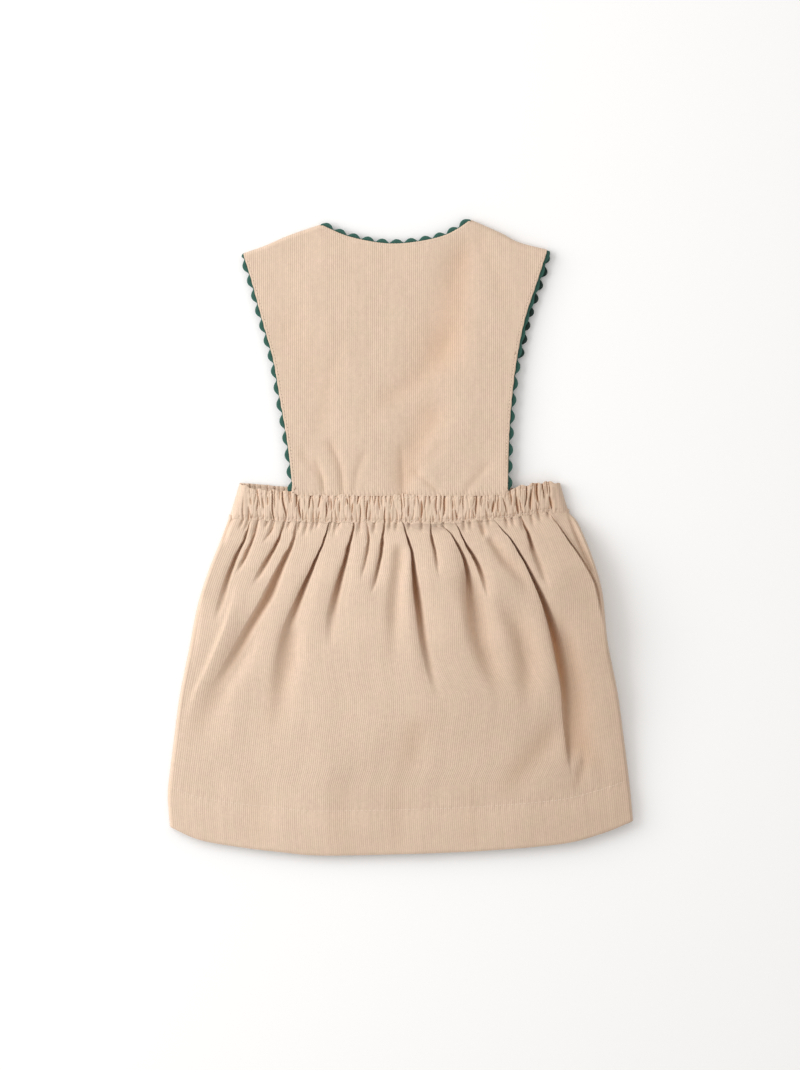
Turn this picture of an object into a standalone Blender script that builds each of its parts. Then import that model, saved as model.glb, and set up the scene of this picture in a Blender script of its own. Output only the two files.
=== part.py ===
"""Toddler's pinafore dress in fine needlecord, laid flat on its front.

A wide bib at front and back, joined at the shoulders and open at both sides,
an elastic waistband that gathers both panels, and a gathered skirt with a
turned hem.  Ric-rac braid peeps out all round the neck and down the armholes.

Frame: +Z up from the surface it lies on, +Y towards the shoulders, +X to the
right of someone who looks down at its back.  All tables are in millimetres.
"""
import functools
import math

import bmesh
import bpy
import numpy as np

MM = 0.001
CENTRE = (0.08, 0.34, 0.0)   # middle of the whole outline, which lies at the origin


def rows_of(columns, table):
    """A table's rows, each value under its column's name."""
    return [dict(zip(columns, row)) for row in table]


# ------------------------------------------------------------------ sizes
CLOTH = 1.5              # wall of one layer, as it lies
HEM_CLOTH = 2.1          # wall where the hem is turned up
BAND_CLOTH = 1.6         # wall of the waistband's casing
SEAM_GAP = 0.3           # between pieces that are sewn or lie together
BRAID = 1.0              # thickness of the ric-rac
BRAID_HALF_WIDTH = 1.7
BRAID_SWING = 2.5        # the braid's middle line swings this far each way
BRAID_TUCK = 0.5         # its middle lies this far inside the cloth's edge

SHOULDER_ROLL = 3.5      # the back rolls down to the front over this distance
SIDE_ROLL = 0.034        # the same at the skirt's sides, as part of its width
HEM_DEPTH = 28.0         # from the edge to the stitching that holds the hem
SKIRT_LENGTH = 207.0     # waist seam to hem
HEM_STEP = 0.012         # share of the skirt's length over which the wall grows
FRONT_HEM_SHORT = 1.5    # the front's hem lies this much above the back's
FRONT_INSET = 0.8        # the front bib lies this much inside the back's edge
SIDE_INSET = 0.7         # middle of the skirt's wall inside its outline

BAND_MIDDLE = 6.2        # height of the back band's middle surface
BAND_WAVE = 1.25         # its gathers rise and fall this much
BAND_GATHERS = 46        # across the back
BACK_SEED = 0.4          # sets which gathers are wide, and which are deep
FRONT_GATHERS = 40       # across the front, on its inner face
FRONT_SEED = 1.1
FRONT_WAVE = 1.5

# Outlines, each a row of places (x, y) in order.
BIB_LEFT = [(-103.3, 187.0), (-98.0, 170.1), (-90.8, 143.7), (-83.5, 117.3),
            (-78.9, 90.9), (-74.3, 64.5), (-71.3, 40.0), (-71.0, 30.4)]
BIB_RIGHT = [(96.4, 189.4), (90.1, 170.1), (81.5, 143.7), (76.2, 117.3),
             (72.9, 90.9), (71.0, 64.5), (70.3, 40.0), (70.3, 30.0)]
SHOULDER_LEFT = [(-103.3, 187.0), (-88.8, 192.1), (-73.6, 198.7), (-52.8, 205.9)]
SHOULDER_RIGHT = [(46.3, 209.1), (65.7, 200.5), (77.6, 194.3), (96.4, 189.4)]
NECK_BACK = [(-52.8, 205.9), (-36.0, 198.6), (-17.8, 194.4), (-3.0, 193.3),
             (13.0, 194.9), (28.0, 198.4), (38.0, 203.2), (46.3, 209.1)]
NECK_FRONT = [(-52.8, 205.9), (-38.0, 192.0), (-20.0, 182.5), (-3.0, 179.5),
              (14.0, 182.0), (30.0, 191.5), (46.3, 209.1)]
BAND_TOP = [(-106.3, 35.3), (-99.3, 32.4), (-89.4, 30.7), (-72.9, 30.1), (-60.0, 28.5),
            (0.0, 28.1), (62.0, 28.6), (78.9, 33.4), (97.4, 36.2), (105.5, 35.0)]
BAND_TOP_FRONT = [(-105.9, 36.2), (-89.4, 34.9), (-72.9, 33.6), (0.0, 31.5),
                  (71.0, 32.5), (97.4, 35.4), (105.0, 34.6)]
FRONT_BIB_FOOT = [(-70.2, 33.5), (-35.0, 32.4), (0.0, 31.5), (35.0, 31.8), (69.5, 32.4)]
BAND_BOTTOM = [(-112.9, 13.0), (-99.3, 12.3), (-72.9, 11.0), (-30.0, 10.4), (26.0, 10.4),
               (52.5, 12.0), (78.9, 14.2), (95.0, 17.0), (111.0, 16.4)]
SKIRT_LEFT = [(-113.2, 12.7), (-118.5, -1.5), (-126.4, -21.3), (-133.7, -44.4),
              (-138.9, -70.8), (-145.5, -103.8), (-149.5, -133.5), (-153.4, -166.5),
              (-152.9, -180.0), (-152.1, -190.2)]
SKIRT_RIGHT = [(111.3, 16.1), (117.2, 9.5), (126.4, -12.7), (133.0, -35.8),
               (136.3, -67.5), (142.9, -100.5), (147.5, -133.5), (151.5, -166.5),
               (153.4, -186.3)]
HEM_LINE = [(-152.1, -190.2), (-132.3, -198.8), (-105.9, -203.6), (-79.5, -206.8),
            (-53.1, -209.1), (0.0, -208.2), (52.5, -206.1), (105.3, -201.5),
            (131.7, -194.9), (153.4, -186.3)]

# Height of the skirt's crests above its lowest troughs, from waist to hem.
CREST = {"down": [0.00, 0.07, 0.18, 0.36, 0.52, 0.68, 0.80, 0.88, 1.00],
         "rise": [3.60, 8.00, 11.0, 10.2, 7.60, 5.00, 3.60, 2.80, 1.90]}
CREST_RIGHT_GAIN = 0.40  # the right side stands this much higher than the left
SKIRT_WAVE = 0.22        # the waistband's gathers run on into the skirt, as part
SKIRT_WAVE_END = 0.075   # of its crests, and fade out over this share of its length

# Folds of the back skirt: a trough runs from the waist through a middle place
# to where it dies out.  depth is the share of the crest's height that it takes
# away, width its half width at both ends, steep the share of that width that
# is left on its left flank, where one fold stands over the next, and lasts the
# share of its path that it runs before it fades.
SKIRT_FOLDS = rows_of(("start", "middle", "end", "depth", "width", "steep", "lasts"), [
    ((-99, 12), (-112, -23), (-130, -66), 0.70, (3.6, 8), 0.9, 0.45),
    ((-88, 12), (-92, 3), (-97, -8), 0.40, (2.8, 4), 1.0, 0.30),
    ((-78, 11), (-87, -10), (-95, -36), 0.60, (3.4, 6), 1.0, 0.40),
    ((-69, 11), (-97, -54), (-143, -147), 0.80, (3.8, 10), 0.8, 0.55),
    ((-47, 11), (-68, -47), (-88, -132), 0.88, (4.0, 12), 1.0, 0.45),
    ((-30, 11), (-37, -23), (-45, -70), 0.85, (3.8, 8), 1.0, 0.45),
    ((-21, 11), (-22, -3), (-25, -20), 0.45, (2.8, 4), 1.0, 0.30),
    ((-11, 11), (-14, -10), (-20, -34), 0.70, (3.2, 5), 1.0, 0.40),
    ((2, 11), (10, -28), (24, -104), 0.85, (3.8, 12), 1.0, 0.45),
    ((18, 11), (21, 0), (24, -13), 0.45, (2.8, 4), 1.0, 0.30),
    ((26, 11), (46, -32), (61, -108), 0.76, (3.6, 13), 1.0, 0.50),
    ((37, 11), (45, -5), (55, -27), 0.60, (3.0, 4), 1.0, 0.40),
    ((52, 12), (64, -8), (82, -36), 0.42, (3.0, 6), 1.0, 0.40),
    ((61, 13), (98, -55), (111, -150), 0.90, (4.6, 16), 0.42, 0.62),
    ((66, -40), (76, -70), (78, -122), 0.30, (8, 11), 1.0, 0.60),
    ((79, 14), (85, -4), (95, -28), 0.50, (3.2, 6), 1.0, 0.40),
    ((97, 16), (119, -15), (134, -58), 0.58, (3.6, 4.4), 0.8, 0.60),
    ((100, -124), (84, -148), (62, -176), 0.28, (8, 10), 1.0, 0.60),
])
FOLD_END = 3.0           # a trough's round end starts this far past its path
FOLD_END_STRETCH = 2.5   # and is this much longer than the trough is wide

# Soft swells of the back bib: where, how high, and how far each spreads.
BIB_SWELLS = rows_of(("at", "rise", "spread"), [
    ((-45, 150), 1.2, (28, 40)),
    ((48, 130), 1.3, (22, 34)),
    ((-28, 62), 1.1, (20, 30)),
    ((34, 70), 1.2, (18, 24)),
])
BIB_WAIST_RISE = 1.05    # the bib climbs to the waistband's middle

FINE_ROWS = [0.0, 0.02, 0.045]    # these hold the gathers' full number of columns
SKIRT_ROWS = [0.075, 0.11, 0.15, 0.20, 0.26, 0.33, 0.41, 0.50, 0.60, 0.70, 0.79]
FRONT_BRAID_LIFT = CLOTH + SEAM_GAP                       # underside of the front's braid
BACK_BRAID_LIFT = FRONT_BRAID_LIFT + BRAID + SEAM_GAP     # underside of the back's braid
BIB_MIDDLE = BACK_BRAID_LIFT + BRAID + SEAM_GAP + CLOTH / 2

COLOURS = {
    "needlecord": ((0.70, 0.55, 0.43, 1.0), 0.92),
    "ric_rac": ((0.015, 0.10, 0.075, 1.0), 0.70),
}


# ------------------------------------------------------------- curve tools
class Edge:
    """A smooth line through a few places, read by its share of length."""

    STEPS = 14

    def __init__(self, places):
        places = np.array(places, float)
        before = 2 * places[0] - places[1]
        after = 2 * places[-1] - places[-2]
        knots = np.vstack([before, places, after])
        line = []
        for k in range(1, len(knots) - 2):
            for step in range(self.STEPS):
                line.append(self.blend(knots[k - 1:k + 3], step / self.STEPS))
        line.append(places[-1])
        self.line = np.array(line)
        runs = np.linalg.norm(np.diff(self.line, axis=0), axis=1)
        self.share = np.concatenate([[0.0], np.cumsum(runs)])
        self.length = self.share[-1]
        self.share /= self.length

    @staticmethod
    def blend(knots, t):
        """Catmull-Rom curve between the two middle knots."""
        a, b, c, d = knots
        return 0.5 * (2 * b + (c - a) * t + (2 * a - 5 * b + 4 * c - d) * t ** 2
                      + (3 * b - a - 3 * c + d) * t ** 3)

    def at(self, share):
        return np.array([np.interp(share, self.share, self.line[:, 0]),
                         np.interp(share, self.share, self.line[:, 1])])

    def side(self, share):
        """Unit vector square to the line, to its left."""
        step = 0.01
        run = self.at(min(share + step, 1.0)) - self.at(max(share - step, 0.0))
        run /= np.linalg.norm(run)
        return np.array([-run[1], run[0]])


class JoinedEdge:
    """Lines end to end, each with its own share of the whole."""

    def __init__(self, edges, breaks):
        self.edges = edges
        self.breaks = breaks

    def at(self, share):
        for edge, low, high in zip(self.edges, self.breaks[:-1], self.breaks[1:]):
            if share <= high:
                return edge.at((share - low) / (high - low))
        return self.edges[-1].at(1.0)


class Sheet:
    """A flat patch between four edges: across is left to right, down is top to foot."""

    def __init__(self, top, foot, left, right):
        self.top, self.foot, self.left, self.right = top, foot, left, right

    def at(self, across, down):
        rule = (1 - down) * self.top.at(across) + down * self.foot.at(across)
        left = self.left.at(down) - (1 - down) * self.top.at(0) - down * self.foot.at(0)
        right = self.right.at(down) - (1 - down) * self.top.at(1) - down * self.foot.at(1)
        return rule + (1 - across) * left + across * right


def moved(places, x=0.0, y=0.0):
    return [(px + x, py + y) for px, py in places]


def clamp(value):
    return min(max(value, 0.0), 1.0)


def ease(value):
    """Nought to one with level ends."""
    value = clamp(value)
    return value * value * (3 - 2 * value)


def roll(distance, radius):
    """Height share of a round edge: upright at the edge, level at its radius."""
    inner = clamp(distance / radius)
    return math.sqrt(1 - (1 - inner) ** 2)


def through(start, middle, end, t):
    """Point of the quadratic curve that passes its middle place at t = 0.5."""
    start, middle, end = (np.array(place, float) for place in (start, middle, end))
    control = 2 * middle - (start + end) / 2
    return (1 - t) ** 2 * start + 2 * t * (1 - t) * control + t ** 2 * end


# -------------------------------------------------------------- mesh tools
def material(name):
    colour, roughness = COLOURS[name]
    made = bpy.data.materials.get(name) or bpy.data.materials.new(name)
    made.use_nodes = True
    shader = made.node_tree.nodes["Principled BSDF"]
    shader.inputs["Base Color"].default_value = colour
    shader.inputs["Roughness"].default_value = roughness
    shader.inputs["Metallic"].default_value = 0.0
    made.diffuse_color = colour
    return made


def facets(points, fine_rows):
    """Triangles of a grid as (column, row) corners; below the fine rows every
    second column is left out, and the row between them has three to a pair."""
    columns, rows = points.shape[:2]
    for j in range(rows - 1):
        step = 1 if j < fine_rows - 1 else 2
        for i in range(0, columns - 1, step):
            k = i + step
            if j == fine_rows - 1:
                yield (i, j), (i, j + 1), (i + 1, j)
                yield (i + 1, j), (i, j + 1), (k, j + 1)
                yield (i + 1, j), (k, j + 1), (k, j)
            elif (np.linalg.norm(points[i, j] - points[k, j + 1])
                  <= np.linalg.norm(points[i, j + 1] - points[k, j])):
                yield (i, j), (i, j + 1), (k, j + 1)
                yield (i, j), (k, j + 1), (k, j)
            else:
                yield (i, j), (i, j + 1), (k, j)
                yield (i, j + 1), (k, j + 1), (k, j)


def rim(points, fine_rows):
    """Corners all round a grid, in order."""
    columns, rows = points.shape[:2]
    foot_step = 1 if fine_rows >= rows else 2
    return ([(i, 0) for i in range(columns - 1)]
            + [(columns - 1, j) for j in range(rows - 1)]
            + [(i, rows - 1) for i in range(columns - 1, 0, -foot_step)]
            + [(0, j) for j in range(rows - 1, 0, -1)])


def wall(name, outer, inner, finish, fine_rows=None):
    """One closed solid between two grids of points, outer above inner."""
    fine_rows = fine_rows or outer.shape[1]
    grid = bmesh.new()
    top, base = {}, {}

    def corner(layer, points, at):
        if at not in layer:
            layer[at] = grid.verts.new((points[at] - CENTRE) * MM)
        return layer[at]

    for three in facets(outer, fine_rows):
        grid.faces.new([corner(top, outer, at) for at in three])
        grid.faces.new([corner(base, inner, at) for at in reversed(three)])
    edge = rim(outer, fine_rows)
    for one, two in zip(edge, edge[1:] + edge[:1]):
        grid.faces.new((top[one], top[two], base[two]))
        grid.faces.new((top[one], base[two], base[one]))
    bmesh.ops.recalc_face_normals(grid, faces=grid.faces)
    mesh = bpy.data.meshes.new(name)
    grid.to_mesh(mesh)
    grid.free()
    mesh.materials.append(material(finish))
    mesh.shade_smooth()
    mesh.set_sharp_from_angle(angle=math.radians(50))
    piece = bpy.data.objects.new(name, mesh)
    bpy.context.scene.collection.objects.link(piece)
    return piece


def surface(columns, rows, point):
    return np.array([[point(u, v) for v in rows] for u in columns], float)


def normals(middle, level_ends=(), upright_sides=False, upright_top=None):
    """Unit normals of a grid of points, held square to the seams at its rims."""
    along_u = np.gradient(middle, axis=0)
    along_v = np.gradient(middle, axis=1)
    normal = np.cross(along_v, along_u)
    normal /= np.linalg.norm(normal, axis=2, keepdims=True)
    for row in level_ends:
        normal[:, row, 1] = 0.0
    if upright_sides:
        for column in (0, -1):
            normal[column, :, 2] = 0.0
    if upright_top is not None:
        for column in upright_top:
            normal[column, 0, 2] = 0.0
    normal /= np.linalg.norm(normal, axis=2, keepdims=True)
    return normal


def thicken(middle, normal, thickness):
    """Outer and inner points of a wall round its middle surface."""
    half = np.asarray(thickness)[..., None] / 2
    return middle + normal * half, middle - normal * half


def slab(flat, top_height):
    """Outer and inner points of a layer that lies on the surface."""
    outer = np.dstack([flat, top_height])
    inner = np.dstack([flat, np.zeros_like(top_height)])
    return outer, inner


# ------------------------------------------------------------- the outlines
LEFT_EDGE, RIGHT_EDGE = Edge(BIB_LEFT), Edge(BIB_RIGHT)
NECK_SHARE = (0.27, 0.745)   # where the neckline begins and ends across the bib
BIB_TOP = JoinedEdge([Edge(SHOULDER_LEFT), Edge(NECK_BACK), Edge(SHOULDER_RIGHT)],
                     [0.0, *NECK_SHARE, 1.0])
BIB_FOOT = Edge([BIB_LEFT[-1], (-58.0, 28.9), (0.0, 28.4), (58.0, 28.8), BIB_RIGHT[-1]])
BIB = Sheet(BIB_TOP, BIB_FOOT, LEFT_EDGE, RIGHT_EDGE)

BAND = Sheet(Edge(BAND_TOP), Edge(BAND_BOTTOM),
             Edge([BAND_TOP[0], BAND_BOTTOM[0]]), Edge([BAND_TOP[-1], BAND_BOTTOM[-1]]))
FRONT_BAND = Sheet(Edge(BAND_TOP_FRONT), Edge(BAND_BOTTOM),
                   Edge([BAND_TOP_FRONT[0], BAND_BOTTOM[0]]),
                   Edge([BAND_TOP_FRONT[-1], BAND_BOTTOM[-1]]))

LEFT_SIDE = moved(SKIRT_LEFT, x=SIDE_INSET)
RIGHT_SIDE = moved(SKIRT_RIGHT, x=-SIDE_INSET)
SKIRT_WAIST = [LEFT_SIDE[0], *moved(BAND_BOTTOM[1:-1], y=-SEAM_GAP), RIGHT_SIDE[0]]
SKIRT_HEM = [LEFT_SIDE[-1], *HEM_LINE[1:-1], RIGHT_SIDE[-1]]
SKIRT = Sheet(Edge(SKIRT_WAIST), Edge(SKIRT_HEM), Edge(LEFT_SIDE), Edge(RIGHT_SIDE))
HEM_SHARE = 1 - HEM_DEPTH / SKIRT_LENGTH


# ------------------------------------------------------------------ heights
def fold_cut(fold, x, y, samples=20):
    """What share of the crest's height one fold takes away at a place."""
    path = fold["start"], fold["middle"], fold["end"]
    gaps = [math.dist((x, y), through(*path, k / samples)) for k in range(samples + 1)]
    at_t = gaps.index(min(gaps)) / samples
    step = 0.5 / samples
    nearest = through(*path, at_t)
    run = through(*path, min(at_t + step, 1.0)) - through(*path, max(at_t - step, 0.0))
    run /= np.linalg.norm(run)
    away = np.array([x, y]) - nearest
    along = float(away @ run)
    side = float(away[0] * run[1] - away[1] * run[0])     # positive on the left flank
    width = fold["width"][0] + (fold["width"][1] - fold["width"][0]) * at_t
    if side > 0:
        width *= fold["steep"]
    past_end = max(abs(along) - FOLD_END, 0.0) / (FOLD_END_STRETCH * width)
    reach = math.hypot(side / width, past_end)
    fade = 1.0 - ease((at_t - fold["lasts"]) / (1 - fold["lasts"]))
    return fold["depth"] * fade * math.exp(-reach ** 2)


def skirt_rise(across, down, x, y):
    """Height of the back skirt's middle surface over its lowest place."""
    crest = np.interp(down, CREST["down"], CREST["rise"])
    crest *= 1 + CREST_RIGHT_GAIN * ease(across) * ease(down / 0.1)
    left = 1.0
    for fold in SKIRT_FOLDS:
        left *= 1 - fold_cut(fold, x, y)
    fading = SKIRT_WAVE * clamp(1 - down / SKIRT_WAVE_END)
    return crest * left * (1 + fading * gather_wave(across, BAND_GATHERS, BACK_SEED))


def skirt_cloth(down):
    return CLOTH + (HEM_CLOTH - CLOTH) * ease((down - HEM_SHARE) / HEM_STEP)


def side_roll(across):
    return roll(min(across, 1 - across), SIDE_ROLL)


def skirt_point(across, down):
    x, y = SKIRT.at(across, down)
    cloth = skirt_cloth(down)
    foot = cloth + SEAM_GAP
    z = foot + (cloth / 2 + skirt_rise(across, down, x, y)) * side_roll(across)
    return x, y, z


def band_height(across):
    return CLOTH + SEAM_GAP + (BAND_MIDDLE - CLOTH - SEAM_GAP) * side_roll(across)


def bib_point(across, down):
    x, y = BIB.at(across, down)
    near_edge = min(across, 1 - across) / 0.22
    calm = ease(near_edge) * ease(down / 0.15) * ease((1 - down) / 0.25)
    swell = sum(s["rise"] * math.exp(-((x - s["at"][0]) / s["spread"][0]) ** 2
                                     - ((y - s["at"][1]) / s["spread"][1]) ** 2)
                for s in BIB_SWELLS)
    z = BIB_MIDDLE + BIB_WAIST_RISE * ease(down) + swell * calm
    if not NECK_SHARE[0] < across < NECK_SHARE[1]:
        from_shoulder = down * LEFT_EDGE.length
        foot = CLOTH + SEAM_GAP
        z = foot + (z - foot) * roll(from_shoulder, SHOULDER_ROLL)
    return x, y, z


# ------------------------------------------------------------------ gathers
@functools.cache
def gather_marks(count, seed):
    """Shares of the width where the gathers meet: uneven, as elastic draws them."""
    widths = [1 + 0.26 * math.sin(1.9 * k + seed) + 0.14 * math.sin(0.73 * k + 2 * seed)
              for k in range(count)]
    marks = np.concatenate([[0.0], np.cumsum(widths)])
    return marks / marks[-1]


def gather_columns(count, seed, steps=4):
    """Columns that hold each gather's hollows, flanks and crest."""
    marks = gather_marks(count, seed)
    return [marks[k] + (marks[k + 1] - marks[k]) * step / steps
            for k in range(count) for step in range(steps)] + [1.0]


def gather_depth(k, seed):
    return 0.72 + 0.28 * math.sin(2.4 * k + seed)


def gather_wave(across, count, seed):
    """Minus one in a hollow, plus one on a crest."""
    marks = gather_marks(count, seed)
    k = int(np.clip(np.searchsorted(marks, across, side="right") - 1, 0, count - 1))
    share = (across - marks[k]) / (marks[k + 1] - marks[k])
    low = gather_depth(k, seed) * (1 - share) + gather_depth(k + 1, seed) * share
    crest = 0.5 - 0.5 * math.cos(2 * math.pi * share)
    return -low + (low + gather_depth(k + 0.5, seed)) * crest


# -------------------------------------------------------------------- parts
def make_back_bib():
    shoulder = [0.0, 0.25, 0.5, 0.75, 1.0]
    neck = [0.035, 0.10, 0.18, 0.27, 0.36, 0.45, 0.55, 0.64, 0.73, 0.82, 0.90, 0.965]
    low, high = NECK_SHARE
    columns = ([low * s for s in shoulder] + [low + (high - low) * s for s in neck]
               + [high + (1 - high) * s for s in shoulder])
    turn = [SHOULDER_ROLL * (1 - math.cos(math.radians(a))) / LEFT_EDGE.length
            for a in (0, 30, 60, 90)]
    rows = turn + [0.06, 0.12, 0.2, 0.3, 0.42, 0.54, 0.66, 0.78, 0.9, 1.0]
    middle = surface(columns, rows, bib_point)
    rolled = [i for i, u in enumerate(columns) if not low < u < high]
    normal = normals(middle, level_ends=(-1,), upright_top=rolled)
    outer, inner = thicken(middle, normal, np.full(middle.shape[:2], CLOTH))
    wall("back_bib", outer, inner, "needlecord")


def make_front_bib():
    low, high = NECK_SHARE
    top = JoinedEdge([Edge(SHOULDER_LEFT), Edge(NECK_FRONT), Edge(SHOULDER_RIGHT)],
                     [0.0, low, high, 1.0])
    foot = [(x, y + 2 * SEAM_GAP) for x, y in FRONT_BIB_FOOT]
    left = [BIB_LEFT[0], *moved(BIB_LEFT[1:-1], x=FRONT_INSET), foot[0]]
    right = [BIB_RIGHT[0], *moved(BIB_RIGHT[1:-1], x=-FRONT_INSET), foot[-1]]
    sheet = Sheet(top, Edge(foot), Edge(left), Edge(right))
    columns = ([low * s for s in (0.0, 0.5, 1.0)]
               + [low + (high - low) * s / 10 for s in range(1, 10)]
               + [high + (1 - high) * s for s in (0.0, 0.5, 1.0)])
    flat = surface(columns, np.linspace(0, 1, 7), sheet.at)
    outer, inner = slab(flat, np.full(flat.shape[:2], CLOTH))
    wall("front_bib", outer, inner, "needlecord")


def make_back_waistband():
    columns = gather_columns(BAND_GATHERS, BACK_SEED)
    rows = [0.0, 0.16, 0.5, 0.86, 1.0]
    draw = {0.0: 0.55, 0.16: 0.45, 0.5: 1.0, 0.86: 0.5, 1.0: 0.6}

    def point(across, down):
        x, y = BAND.at(across, down)
        wave = BAND_WAVE * draw[down] * gather_wave(across, BAND_GATHERS, BACK_SEED)
        return x, y, band_height(across) + wave * side_roll(across)

    middle = surface(columns, rows, point)
    normal = normals(middle, level_ends=(0, -1), upright_sides=True)
    outer, inner = thicken(middle, normal, np.full(middle.shape[:2], BAND_CLOTH))
    wall("waistband_back", outer, inner, "needlecord")


def make_front_waistband():
    columns = gather_columns(FRONT_GATHERS, FRONT_SEED, steps=2)
    rows = [0.0, 0.5, 1.0]
    flat = surface(columns, rows, FRONT_BAND.at)
    top = np.array([[CLOTH + (FRONT_WAVE * (0.5 + 0.5 * gather_wave(u, FRONT_GATHERS, FRONT_SEED))
                              * ease(min(u, 1 - u) / 0.05)) for _ in rows] for u in columns])
    outer, inner = slab(flat, top)
    wall("waistband_front", outer, inner, "needlecord")


def make_back_skirt():
    columns = gather_columns(BAND_GATHERS, BACK_SEED)
    rows = FINE_ROWS + SKIRT_ROWS + [HEM_SHARE, HEM_SHARE + HEM_STEP, 0.94, 1.0]
    middle = surface(columns, rows, skirt_point)
    normal = normals(middle, level_ends=(0, -1), upright_sides=True)
    cloth = np.array([[skirt_cloth(v) for v in rows] for _ in columns])
    outer, inner = thicken(middle, normal, cloth)
    wall("skirt_back", outer, inner, "needlecord", fine_rows=len(FINE_ROWS))


def make_front_skirt():
    hem = moved(SKIRT_HEM, y=FRONT_HEM_SHORT)
    sheet = Sheet(SKIRT.top, Edge(hem), Edge([*LEFT_SIDE[:-1], hem[0]]),
                  Edge([*RIGHT_SIDE[:-1], hem[-1]]))
    columns = np.linspace(0, 1, 21)
    rows = [0.0, 0.06, 0.14, 0.25, 0.38, 0.52, 0.66, 0.79, HEM_SHARE, HEM_SHARE + HEM_STEP, 1.0]
    flat = surface(columns, rows, sheet.at)
    top = np.array([[skirt_cloth(v) for v in rows] for _ in columns])
    outer, inner = slab(flat, top)
    wall("skirt_front", outer, inner, "needlecord")


def make_braid(name, edge, waves, outward, underside, begin, end):
    """Ric-rac along an edge: a flat braid that swings in and out from under the cloth."""
    columns = 4 * waves
    middle = []
    for k in range(columns + 1):
        share = begin + (end - begin) * k / columns
        swing = -math.cos(2 * math.pi * k / 4)
        shift = outward * (BRAID_SWING * swing - BRAID_TUCK)
        middle.append(edge.at(share) + edge.side(share) * shift)
    middle = np.array(middle)
    run = np.gradient(middle, axis=0)
    run /= np.linalg.norm(run, axis=1, keepdims=True)
    across = np.stack([-run[:, 1], run[:, 0]], axis=1) * BRAID_HALF_WIDTH
    low = np.array([underside(begin + (end - begin) * k / columns) for k in range(columns + 1)])
    flat = np.stack([middle + across, middle - across], axis=1)
    lift = np.repeat(low[:, None], 2, axis=1)
    wall(name, np.dstack([flat, lift + BRAID]), np.dstack([flat, lift]), "ric_rac")


def make_braids():
    def back_side(share):
        return BACK_BRAID_LIFT + BIB_WAIST_RISE * ease(share)

    def level(height):
        return lambda share: height

    armhole = LEFT_EDGE.length
    clear = (SHOULDER_ROLL + BRAID_HALF_WIDTH) / armhole
    make_braid("ric_rac_armhole_back_left", LEFT_EDGE, 16, -1, back_side, clear, 0.985)
    make_braid("ric_rac_armhole_back_right", RIGHT_EDGE, 15, 1, back_side, clear, 0.985)
    make_braid("ric_rac_neck_back", Edge(NECK_BACK), 11, 1, level(BACK_BRAID_LIFT), 0.035, 0.965)
    front_left = Edge(moved(BIB_LEFT, x=FRONT_INSET))
    front_right = Edge(moved(BIB_RIGHT, x=-FRONT_INSET))
    front = level(FRONT_BRAID_LIFT)
    make_braid("ric_rac_armhole_front_left", front_left, 15, -1, front, clear, 0.955)
    make_braid("ric_rac_armhole_front_right", front_right, 15, 1, front, clear, 0.955)
    make_braid("ric_rac_neck_front", Edge(NECK_FRONT), 12, 1, front, 0.05, 0.95)


def main():
    for leftover in list(bpy.data.objects):
        bpy.data.objects.remove(leftover)
    make_front_bib()
    make_back_bib()
    make_front_waistband()
    make_back_waistband()
    make_front_skirt()
    make_back_skirt()
    make_braids()


main()
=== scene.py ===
"""Looks of a toddler's pinafore dress in needlecord, laid flat on its front.

Laid out as an add-on and run as a script: one operator for each group of
pieces and one for the stage.  Tables and plain sizes are in millimetres.
Frame: +Z up from the surface it lies on, +Y towards the shoulders, +X to the
right of someone who looks down at its back.
"""
import math

import bpy
import numpy as np
from bpy.props import FloatProperty, FloatVectorProperty, PointerProperty
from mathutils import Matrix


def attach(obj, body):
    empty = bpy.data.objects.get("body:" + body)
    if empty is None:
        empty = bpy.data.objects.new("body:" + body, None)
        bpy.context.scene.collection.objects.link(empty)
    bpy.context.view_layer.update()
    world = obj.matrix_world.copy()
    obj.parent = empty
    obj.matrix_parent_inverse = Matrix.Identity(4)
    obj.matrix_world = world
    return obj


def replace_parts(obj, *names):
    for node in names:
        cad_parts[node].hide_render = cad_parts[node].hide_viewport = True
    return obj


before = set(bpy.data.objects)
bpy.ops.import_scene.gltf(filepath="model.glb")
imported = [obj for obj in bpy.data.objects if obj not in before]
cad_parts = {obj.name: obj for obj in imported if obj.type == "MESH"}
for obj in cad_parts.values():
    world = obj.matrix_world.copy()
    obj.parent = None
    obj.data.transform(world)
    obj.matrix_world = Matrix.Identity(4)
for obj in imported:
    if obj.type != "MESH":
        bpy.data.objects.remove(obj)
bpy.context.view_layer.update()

bl_info = {
    "name": "Needlecord Pinafore",
    "version": (1, 0, 0),
    "blender": (4, 5, 0),
    "location": "View3D > Sidebar > Pinafore",
    "description": "Cloth, ric-rac, stitching and studio for a pinafore laid flat",
    "category": "Add Mesh",
}

MM = 0.001
TURN = 2 * math.pi
CENTRE = np.array([0.08, 0.34, 0.0])    # middle of the outline, which lies at the origin


def rows_of(columns, table):
    """A table's rows, each value under its column's name."""
    return [dict(zip(columns, row)) for row in table]


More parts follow.
